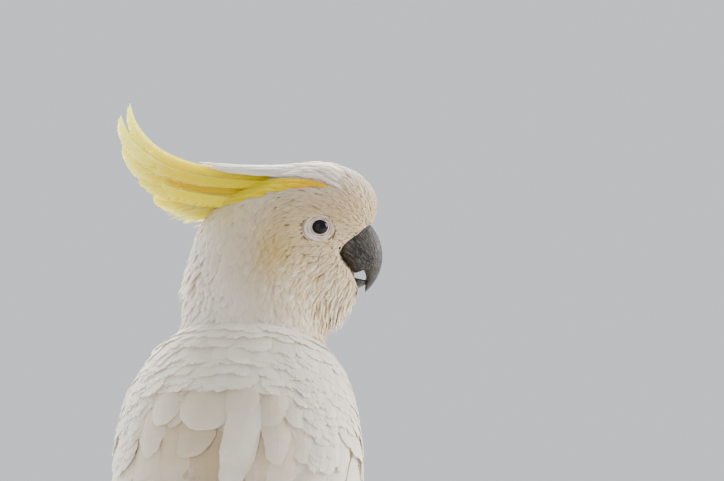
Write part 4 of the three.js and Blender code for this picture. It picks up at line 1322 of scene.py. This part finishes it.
# %% Small scale-like coverts that run down each shoulder
count = 90
for wing in ("right", "left"):
    run = rng.random(count)
    s, angle = 0.07 + 0.30 * run, 53 - 19 * run + rng.uniform(-8, 8, count)
    half_width, length = rng.normal(6.2, 0.7, count), rng.normal(17, 2, count)
    shape = feather_grid(count, 8, 17, 0.3, 0.16, 0.4, 0.05)
    turn = rng.normal(-4, 8, count)
    if wing == "left":
        angle, turn = 180 - angle, -turn
    sink = 1.2, -0.8 - 0.5 * (1 - run)
    points = shell_feathers(s, angle, turn, length, half_width, sink, shape, camber=0.12, steady=True)
    add_feathers(f"shoulder_scales_{wing}", points, shape, half_width, length,
                 wing_tint(count, shape[0], 0.88), on_shell(angle, s), WHITE_VANE, "white_feathers")

# %% Mantle, in rows of scallops across the back
def mantle_right(s):
    """The angle at which the mantle's rows begin, inside the right wing's upper edge."""
    return min(60 - 60 * s, upper_edge(s) - 6)


def mantle_left(s):
    """The angle at which they end, on the left."""
    return 180 - min(58 - 80 * s, upper_edge(s) - 6)


mantle = staggered(-0.005, 0.175, 6.6, 8.5, mantle_right, mantle_left, 0.1)
count = len(mantle)
grown = 0.45 + 0.55 * smooth_step(mantle[:, 0], -0.01, 0.09)  # the first rows are shorter
length, half_width = rng.normal(25, 1.0, count) * grown, rng.normal(10.5, 0.6, count) * grown**0.5
shape = feather_grid(count, 10, 31, 0.24, 0.1, 0.4, 0.0)
points = shell_feathers(
    mantle[:, 0].clip(0), mantle[:, 1], rng.normal(0, 4, count), length, half_width, (2.1, -0.9), shape,
    camber=0.05, steady=True,
)
add_feathers("mantle", points, shape, half_width, length, wing_tint(count, shape[0], 0.84),
             on_shell(mantle[:, 1], mantle[:, 0]), WHITE_VANE, "white_feathers")

# %% Scapulars: large, round and loose, so each lies its own way
SCAPULARS = [  # place along, angle, heading, bend, length, half width, depth at tip, curl
    (0.30, 112, -6, 0, 50, 14, 0.5, 0), (0.31, 126, 4, 0, 46, 13, 0.6, 0), (0.36, 98, 4, 0, 50, 13, 0.6, 0),
    (0.27, 103, -3, 4, 50, 16, -0.7, 0.05), (0.20, 97, -2, 0, 47, 17, -1.5, 0.02),
    (0.19, 118, 0, -6, 42, 12, -0.5, 0.05), (0.17, 133, 6, -6, 40, 12, -0.3, 0.0),
    (0.24, 137, 6, -4, 44, 12, -0.1, 0.0), (0.245, 123, 3, -4, 48, 13, -0.1, 0.03),
    (0.36, 80, 0, -6, 60, 9, 0.3, 0.04), (0.34, 66, -4, -4, 56, 9, 0.5, 0.04),
    (0.37, 90, -6, -4, 60, 10, 0.4, 0.0),
    (0.235, 72, 17, -24, 84, 11, -3.2, 0.3), (0.18, 82, 1, -4, 42, 14, -0.6, 0.0),
    (0.33, 58, -2, -4, 46, 10, 0.0, 0.05), (0.275, 63, 0, -6, 44, 10.5, -0.4, 0.08),
    (0.225, 67, 2, -8, 38, 10.5, -0.8, -0.1), (0.28, 51, -4, 0, 40, 9.5, -0.1, 0.04),
    (0.225, 54, 0, -4, 35, 9.5, -0.5, 0.05), (0.18, 62, 4, -4, 34, 10, -0.6, 0.0),
]
s, angle, heading, bend, length, half_width, tip_depth, curl = np.array(SCAPULARS, float).T
count = len(s)
shape = feather_grid(count, 44, 25, 0.3, 0.03, 0.45, 0.04)
points = shell_feathers(
    s, angle, heading, length, half_width, (1.8, tip_depth), shape, bend, 0.16, curl, ripple=0.15
)
# the curled scapular is tinted as if away from the hollow, so it gets none of the painted warm shade
tint_angle = np.where(curl > 0.2, 10, angle)  # the one that curls right up stands out of the warm hollow
add_feathers("scapulars", points, shape, half_width, length, wing_tint(count, shape[0], 0.88, s, tint_angle),
             on_shell(angle, s), WHITE_VANE, "white_feathers")

# %% [markdown]
# ## The crest and the forelock
# The crest is a fan of long narrow plumes that grow from the crown, lie back, and curve up at their tips.
# Each plume has its shaft on top and loose barbs that hang to both sides like a little roof, frayed at the
# edges. White forelock feathers cover their bases from above, and short yellow ones from the sides.

# %% Plumes
PLUMES = [  # shaft as (forward, up), sideways drift, and how deep the barbs hang
    ([(8, 33), (-15, 35), (-40, 37.4), (-61, 42), (-77, 48.5), (-88, 57.5), (-95, 67), (-99, 79)], 2, 10),
    ([(6, 30), (-16, 31), (-42, 33), (-66, 37.5), (-82, 44.5), (-94, 54), (-101, 63),
      (-104.5, 71.5)], -3, 10),
    ([(4, 27), (-18, 26), (-44, 27), (-68, 31), (-86, 38), (-97, 46), (-103, 54)], 3.5, 11),
    ([(0, 24), (-20, 22), (-46, 22), (-70, 25), (-84, 28), (-93.5, 31.5)], -4.5, 9),
    ([(-4, 22), (-24, 18.5), (-46, 17), (-66, 17.5), (-78, 18.5), (-84, 21)], 4.5, 8),
    ([(-6, 24), (-24, 20.5), (-41, 21), (-53, 22.8), (-64, 25), (-73, 28), (-78, 31.5)], -9, 10),
    ([(-10, 20), (-28, 15.5), (-44, 11.5), (-56, 10.5), (-64, 11)], 0, 4.5),
]
DEEP_YELLOW, YELLOW = np.array((0.98, 0.65, 0.0)), np.array((0.98, 0.85, 0.002))
PALE = np.array((0.97, 0.94, 0.30))
PLUME_LENGTH = 105  # of the longest, in mm, for the barbs' map


def plume_tint(forward, across):
    """Orange at the base, yellow along the middle, pale at the tip and along the frayed edge."""
    colour = mix(DEEP_YELLOW, YELLOW, smooth_step(-forward, -22, 20))
    pale = smooth_step(-forward, 62, 104) * 0.85
    pale = pale + 0.3 * smooth_step(np.abs(across), 0.55, 1.0) * smooth_step(-forward, 20, 60)
    # painted highlight: a pale line along the shaft, the plume's top edge, for the rim that the light from
    # behind draws
    pale = pale + 0.5 * np.exp(-((across / 0.2) ** 2)) * smooth_step(-forward, 15, 50)
    return mix(colour, PALE, pale.clip(0, 1))


def plume(shaft, drift, deep, spread, drop=0.0, rows=150, columns=13):
    """A roof-shaped blade: from the shaft the barbs go out to the side by spread and down by `deep` times
    the share across to the power 1.2, swept towards the tip. Barbs part here and there along the edge.
    drop is how far the whole blade lies below its shaft's line."""
    t = np.linspace(0, 1, rows)
    u = np.linspace(-1, 1, columns)[None]
    edge = np.interp(t, [0, 0.12, 0.45, 0.72, 0.9, 1], [0.3, 0.75, 1.0, 0.85, 0.45, 0.04])
    slow, fast = rng.uniform(0, 6, (2, 1)), rng.uniform(0, 6, (2, 1))
    loose = 0.5 + 0.5 * np.sin(t * 37 + slow + 2 * np.sin(t * 61 + fast))
    tooth = 1 - (0.06 + 0.2 * loose) * rng.random((2, rows)) * (np.arange(rows) % 2)
    for side in (0, 1):
        places, widths = rng.uniform(0.3, 0.97, 12), rng.uniform(0.005, 0.014, 12)
        for at, wide, cut in zip(places, widths, rng.uniform(0.15, 0.5, 12)):
            tooth[side] *= 1 - cut * np.exp(-(((t - at) / wide) ** 2))
    reach = u * edge[:, None] * np.where(u < 0, tooth[0][:, None], tooth[1][:, None])
    swept = (t[:, None] + 0.085 * np.abs(reach) ** 1.5).clip(0, 1)
    middle = spline(shaft, swept)
    left = drift + spread * reach + 0.5 * np.sin(5 * t + drift)[:, None]
    ahead = spline(shaft, (swept + 0.02).clip(0, 1)) - spline(shaft, (swept - 0.02).clip(0, 1))
    below = np.stack([-ahead[..., 1], ahead[..., 0]], axis=-1)
    below = unit(below) * np.sign(-below[..., 1:] + 1e-9)
    hang = deep * np.abs(reach) ** 1.2 + 0.25 * np.sin(9 * t[:, None] + 4 * np.abs(u)) * np.abs(reach)
    place = middle + below * (hang + drop * (0.4 + 0.6 * t[:, None]))[..., None]
    tint = plume_tint(place[..., 0], u) * (1 + rng.normal(0, 0.02))
    vane = np.stack([reach * deep, np.broadcast_to(swept * PLUME_LENGTH, reach.shape)], axis=-1) * 0.1
    return head_point(place[..., 0], left, place[..., 1]), tint, vane


blades, tints, vanes = [], [], []
for shaft, drift, deep in PLUMES:
    for copy in range(3 if deep > 5 else 2):
        stops = spline(np.array(shaft, float), np.linspace(0, 1 - 0.03 * copy * rng.uniform(0.6, 1.2), 9))
        side = (0, -1, 1)[copy]
        drop = 1.6 * copy * rng.uniform(0.8, 1.2)
        place, tint, vane = plume(stops, drift * 0.7 + side * 4.0, deep * (0.85 if copy else 1.0), 2.6, drop)
        blades.append(place)
        tints.append(tint)
        vanes.append(vane)
rows, columns = blades[0].shape[:2]
count = len(blades)
cell = np.stack([(np.arange(count) + 0.5) / count, np.full(count, 0.5)], axis=-1)[:, None, None]
r, c = np.meshgrid(np.linspace(-0.48, 0.48, rows), np.linspace(-0.4, 0.4, columns) / count, indexing="ij")
crest = add_mesh(
    "crest", np.stack(blades), many_grids(count, rows, columns), YELLOW_VANE,
    uv={"OFBake": cell + np.stack([c, r], axis=-1)[None], "Vane": np.stack(vanes)}, tint=np.stack(tints),
)
finish_piece(crest, "yellow_feathers", "crest")


# %% Short yellow feathers at the sides of the crest's base
def backwards(points):
    """Straight back along the head, and a little up."""
    return np.broadcast_to(unit(-FORWARD + 0.12 * UP), points.shape)


BASE_SHARES = [0, 0.12, 0.3, 0.55, 1]  # from front to back
BASE_TOP, BASE_LOW = [26.0, 28.8, 30.4, 31.2, 31.5], [25.6, 26.2, 25.6, 23.5, 17.0]
count = 260
for name, side in (("left", 1), ("right", -1)):
    share = np.sort(rng.random(count))
    forward = 30 - 55 * share
    top, low = [np.interp(share, BASE_SHARES, heights) for heights in (BASE_TOP, BASE_LOW)]
    up = low + (top - low) * rng.random(count)
    roots = head_point(forward, side * surface_out(forward, up, side, 0.0, start=0.0), up)
    length = rng.normal(26, 5, count) * (0.55 + 0.5 * share)
    half_width = rng.normal(1.5, 0.25, count) * (0.6 + 0.6 * share)
    shape = feather_grid(count, 9, 7, 0.35, 0.25, 0.4, 0.3)
    points = drape(roots, length, half_width, -0.6, rng.normal(0.9, 0.3, count), shape, backwards)
    tint = plume_tint(forward[:, None, None] - 25 * shape[0], shape[1])
    add_feathers(f"crest_base_{name}", points, shape, half_width, length, tint,
                 np.stack([forward, up], axis=-1), YELLOW_VANE, "yellow_feathers")

# %% Loose pale barbs that hang from the crest's lower edge
count = 190
share = rng.random(count)
length, half_width = rng.normal(17, 4, count), rng.normal(0.55, 0.1, count)
shape = feather_grid(count, 8, 3, 0.2, 0.0, 0.5, 0.7)
along, across = shape
fall = np.radians(rng.normal(34, 9, count))[:, None, None] * (1 - 0.35 * along)
run, wide = along * length[:, None, None], across * half_width[:, None, None]
forward = (-31 - 27 * share)[:, None, None] - run * np.cos(fall) - wide * np.sin(fall)
up = (11.5 + 4.5 * share + rng.uniform(-1.5, 2.0, count))[:, None, None]
up = up - run * np.sin(fall) + wide * np.cos(fall)
left = rng.uniform(-5, 5, count)[:, None, None] * (1 + 0.3 * along)
tint = mix(YELLOW, PALE, (0.4 + 0.6 * along) * np.ones_like(across))
add_feathers("crest_fringe", head_point(forward, left, up), shape, half_width, length, tint,
             np.stack([share, fall[:, 0, 0]], axis=-1), YELLOW_VANE, "yellow_feathers")

# %% The white forelock over them
def hood(forward, turn, lift):
    """A place on the half tube that the forelock forms: turn 0 is on top and 90 is its side, lift is
    outwards. Where the head is fuller than the tube, the place moves out to the head's surface."""
    stops = [-62, -50, -38, -20, -4, 8, 20, 30, 38]
    top = np.interp(forward, stops, [42.0, 40.5, 39.0, 38.4, 38.9, 39.9, 38.6, 35.4, 30.5])
    wide = np.interp(forward, [-62, -40, -10, 10, 38], [2.5, 6.0, 8.5, 10.5, 10])
    deep = np.interp(forward, [-62, -40, -10, 10, 38], [2.0, 4.6, 6.2, 8, 9])
    a = np.radians(turn)
    place = head_point(forward, (wide + lift) * np.sin(a), top - deep + (deep + lift) * np.cos(a))
    level, outward = plumage_level(place)
    inside = (0.35 + lift - level).clip(0)
    return place + inside[..., None] * outward


WIDEST_TURN = 112  # how far round the forelock reaches, in degrees from its top
TUBE_RADIUS = 9.5
count = 900
forward = rng.uniform(-14, 37, count)
turn = rng.uniform(-1, 1, count) * np.interp(forward, [0, 12, 32], [80, 97, WIDEST_TURN])
reach = np.interp(forward, [-14, 10, 37], [44, 40, 13]) * rng.uniform(0.7, 1.05, count)
reach = reach * (1 - 0.35 * (np.abs(turn) / WIDEST_TURN) ** 2)
shape = feather_grid(count, 10, 7, 0.35, 0.25, 0.4, 0.35)
half_width = rng.normal(1.9, 0.2, count) * np.interp(forward, [10, 37], [1, 0.7])
along, across = shape
run = forward[:, None, None] - along * reach[:, None, None]
spin = turn[:, None, None] * (1 - 0.12 * along) + np.degrees(across * half_width[:, None, None] / TUBE_RADIUS)
own = rng.normal(0.2, 0.3, count)[:, None, None]
points = hood(run, spin, own - 0.6 + 1.1 * smooth_step(along, 0, 0.6) - 0.2 * across**2)
tint = mix(WHITE, APRICOT, 0.2 * smooth_step(forward, 6, 30))[:, None, None]
# painted shade: each forelock feather is a little darker at its base
tint = tint * (0.92 + 0.08 * smooth_step(along, 0, 0.5))[..., None]
add_feathers("forelock", points, shape, half_width, reach, tint, np.stack([turn, forward], axis=-1),
             WHITE_VANE, "white_feathers", ["crest_hood"])

# %% [markdown]
# ## The tail
# Twelve broad feathers lie nearly on top of each other, the middle pair uppermost. Shorter coverts hide
# their bases above and below.

# %% Tail feathers
TAIL_ROOT, TAIL_LENGTH, TAIL_SLOPE = np.array([1, -62, 88.0]), 206, 23.6


def tail_feathers(place, turn, length, half_width, height, shape, underneath=False):
    """Blades in the tail's sloping plane: `place` is sideways and back from its root, turn is the angle off
    straight back, and height is above the plane. Edges hang lower than the shaft."""
    along, across = shape
    a = np.radians(turn)[:, None, None]
    back = along * length[:, None, None]
    wide = across * half_width[:, None, None]
    x = place[:, 0][:, None, None] + back * np.sin(a) + wide * np.cos(a)
    y = place[:, 1][:, None, None] + back * np.cos(a) - wide * np.sin(a)
    z = height[:, None, None] - 0.08 * half_width[:, None, None] * across**2 * (-1 if underneath else 1)
    level, steep = math.cos(math.radians(TAIL_SLOPE)), math.sin(math.radians(TAIL_SLOPE))
    return ORIGIN + TAIL_ROOT + np.stack([x, -y * level - z * steep, -y * steep + z * level], axis=-1)


half = np.arange(6)
number = np.concatenate([-half[::-1] - 0.5, half + 0.5])
count = len(number)
length = TAIL_LENGTH * (1 - 0.05 * (np.abs(number) / 6) ** 2)
half_width = np.full(count, 12.5)
shape = feather_grid(count, 40, 15, 0.07, 0.01, 0.5, -0.05)
height = 2.4 - 0.75 * np.abs(number)
place = np.stack([number * 2.1, 0 * number], axis=-1)
points = tail_feathers(place, number * 0.62, length, half_width, height, shape)
add_feathers("tail", points, shape, half_width, length, wing_tint(count, shape[0], 0.95),
             np.stack([number, np.tile([0.0, 1.0], 6)], axis=-1), WHITE_VANE, "white_feathers", ["tail"])

# %% Tail coverts
count = 90
for name, reach, under in (("tail_coverts_above", 62, False), ("tail_coverts_below", 88, True)):
    back = rng.uniform(-20, reach, count)
    side = rng.uniform(-1, 1, count) * np.interp(back, [-20, reach], [24, 15])
    length, half_width = rng.normal(34, 3, count), rng.normal(8.5, 0.6, count)
    shape = feather_grid(count, 9, 13, 0.3, 0.1, 0.4, 0.1)
    lift = np.interp(back, [-20, reach], [8, 1.5])
    hand = -1 if under else 1
    height = (-4.0 - lift if under else 3.6 + lift * 0.8) + rng.normal(0, 0.3, count) - 0.006 * side**2 * hand
    place = np.stack([side, back], axis=-1)
    points = tail_feathers(place, side * 0.5, length, half_width, height, shape, under)
    points[..., 2] -= smooth_step(shape[0], 0, 1) * 1.2 * hand
    add_feathers(name, points[:, :, ::hand], shape, half_width, length, wing_tint(count, shape[0]), place,
                 WHITE_VANE, "white_feathers")

# %% [markdown]
# ## Camera, floor and light
# A long lens at the height of the bird's head gives the flat perspective of a portrait taken from far off.
# Soft light comes from a pale sky all round. A broad light high behind the bird draws a bright rim along
# its crown, back and sides, and leaves the near side in gentle shade, and a weak one fills from the front.

# %% Camera
AZIMUTH, ELEVATION = 13.0, 1.0  # degrees; 0 looks along +Y
LENS, SENSOR = 200.0, 36.0
IMAGE_WIDTH, IMAGE_HEIGHT = 724, 481
PIXELS_PER_MM = 1.58  # at the distance of the head
EYE_PIXEL = (320.2, 226.8)  # where the right eye falls in the frame

azimuth, elevation = math.radians(AZIMUTH), math.radians(ELEVATION)
view_right = np.array([math.cos(azimuth), math.sin(azimuth), 0])
flat_back = np.array([math.sin(azimuth), -math.cos(azimuth), 0])
view_back = flat_back * math.cos(elevation) + UP * math.sin(elevation)
view_up = np.cross(view_back, view_right)
distance = IMAGE_WIDTH / PIXELS_PER_MM * LENS / SENSOR
aim = eye_right + view_right * (IMAGE_WIDTH / 2 - EYE_PIXEL[0]) / PIXELS_PER_MM
aim = aim - view_up * (IMAGE_HEIGHT / 2 - EYE_PIXEL[1]) / PIXELS_PER_MM
camera_data = bpy.data.cameras.new("Camera")
camera_data.lens, camera_data.sensor_width, camera_data.clip_end = LENS, SENSOR, 50
camera = bpy.data.objects.new("Camera", camera_data)
bpy.context.scene.collection.objects.link(camera)
camera.location = (aim + view_back * distance) * MM
camera.rotation_euler = (math.pi / 2 - elevation, 0, azimuth)
bpy.context.scene.camera = camera
print("camera at (m):", [round(c, 3) for c in camera.location])

# %% Floor and light
FLOOR_RADII = [1, 1400]  # a disc in mm, but for a pinhole in its middle
turn = np.linspace(0, 2 * math.pi, 96, endpoint=False)
x, y = np.outer(FLOOR_RADII, np.cos(turn)), np.outer(FLOOR_RADII, np.sin(turn))
rings = np.stack([x, y, 0 * x], axis=-1)
FLOOR_FINISH, tree, shader = new_material("Floor", Roughness=0.9)
shader.inputs["Base Color"].default_value = (0.55, 0.55, 0.54, 1)
floor = add_mesh("floor", rings, grid_faces(2, 96, wrap=True), FLOOR_FINISH)
floor.location.z = -0.2 * MM  # clear of the undersides of the toes
floor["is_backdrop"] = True

world = bpy.data.worlds.new("Sky")
bpy.context.scene.world = world
world.use_nodes = True
sky = world.node_tree.nodes["Background"]
sky.inputs["Color"].default_value, sky.inputs["Strength"].default_value = (0.93, 0.96, 1.0, 1), 0.85


def add_light(name, place, size, power, colour):
    """A square area light, size metres across, that points at the head."""
    data = bpy.data.lights.new(name, "AREA")
    data.size, data.energy, data.color = size, power, colour
    light = bpy.data.objects.new(name, data)
    bpy.context.scene.collection.objects.link(light)
    light.location = place
    light.rotation_euler = (light.location - Vector(SKULL * MM)).to_track_quat("Z", "Y").to_euler()
    print("light:", name, power, "W")


add_light("high behind", (-0.5, 1.6, 1.7), 1.6, 245, (1.0, 0.98, 0.95))
add_light("behind right", (1.9, 0.9, 0.9), 1.2, 105, (1.0, 0.98, 0.95))
add_light("behind left", (-1.9, 0.7, 0.7), 1.2, 42, (0.96, 0.98, 1.0))
add_light("front fill", (-0.6, -2.4, 0.9), 2.2, 24, (1.0, 0.88, 0.74))

# %% [markdown]
# ## Check the size, and count the triangles
# The visual model should fill the imported model's box and not leave it by more than a few millimetres.

# %% Sizes
shown_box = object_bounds()
boxes = {"cad": [list(corner) for corner in cad_box], "visual": [list(corner) for corner in shown_box]}
for axis, name in enumerate("xyz"):
    low, high = [(boxes["visual"][k][axis] - boxes["cad"][k][axis]) / MM for k in (0, 1)]
    print(name, round(low, 1), round(high, 1), "mm from the packed box")

counted = sum(len(p.vertices) - 2 for m in bpy.data.meshes for p in m.polygons)
print("triangles in all meshes:", counted)
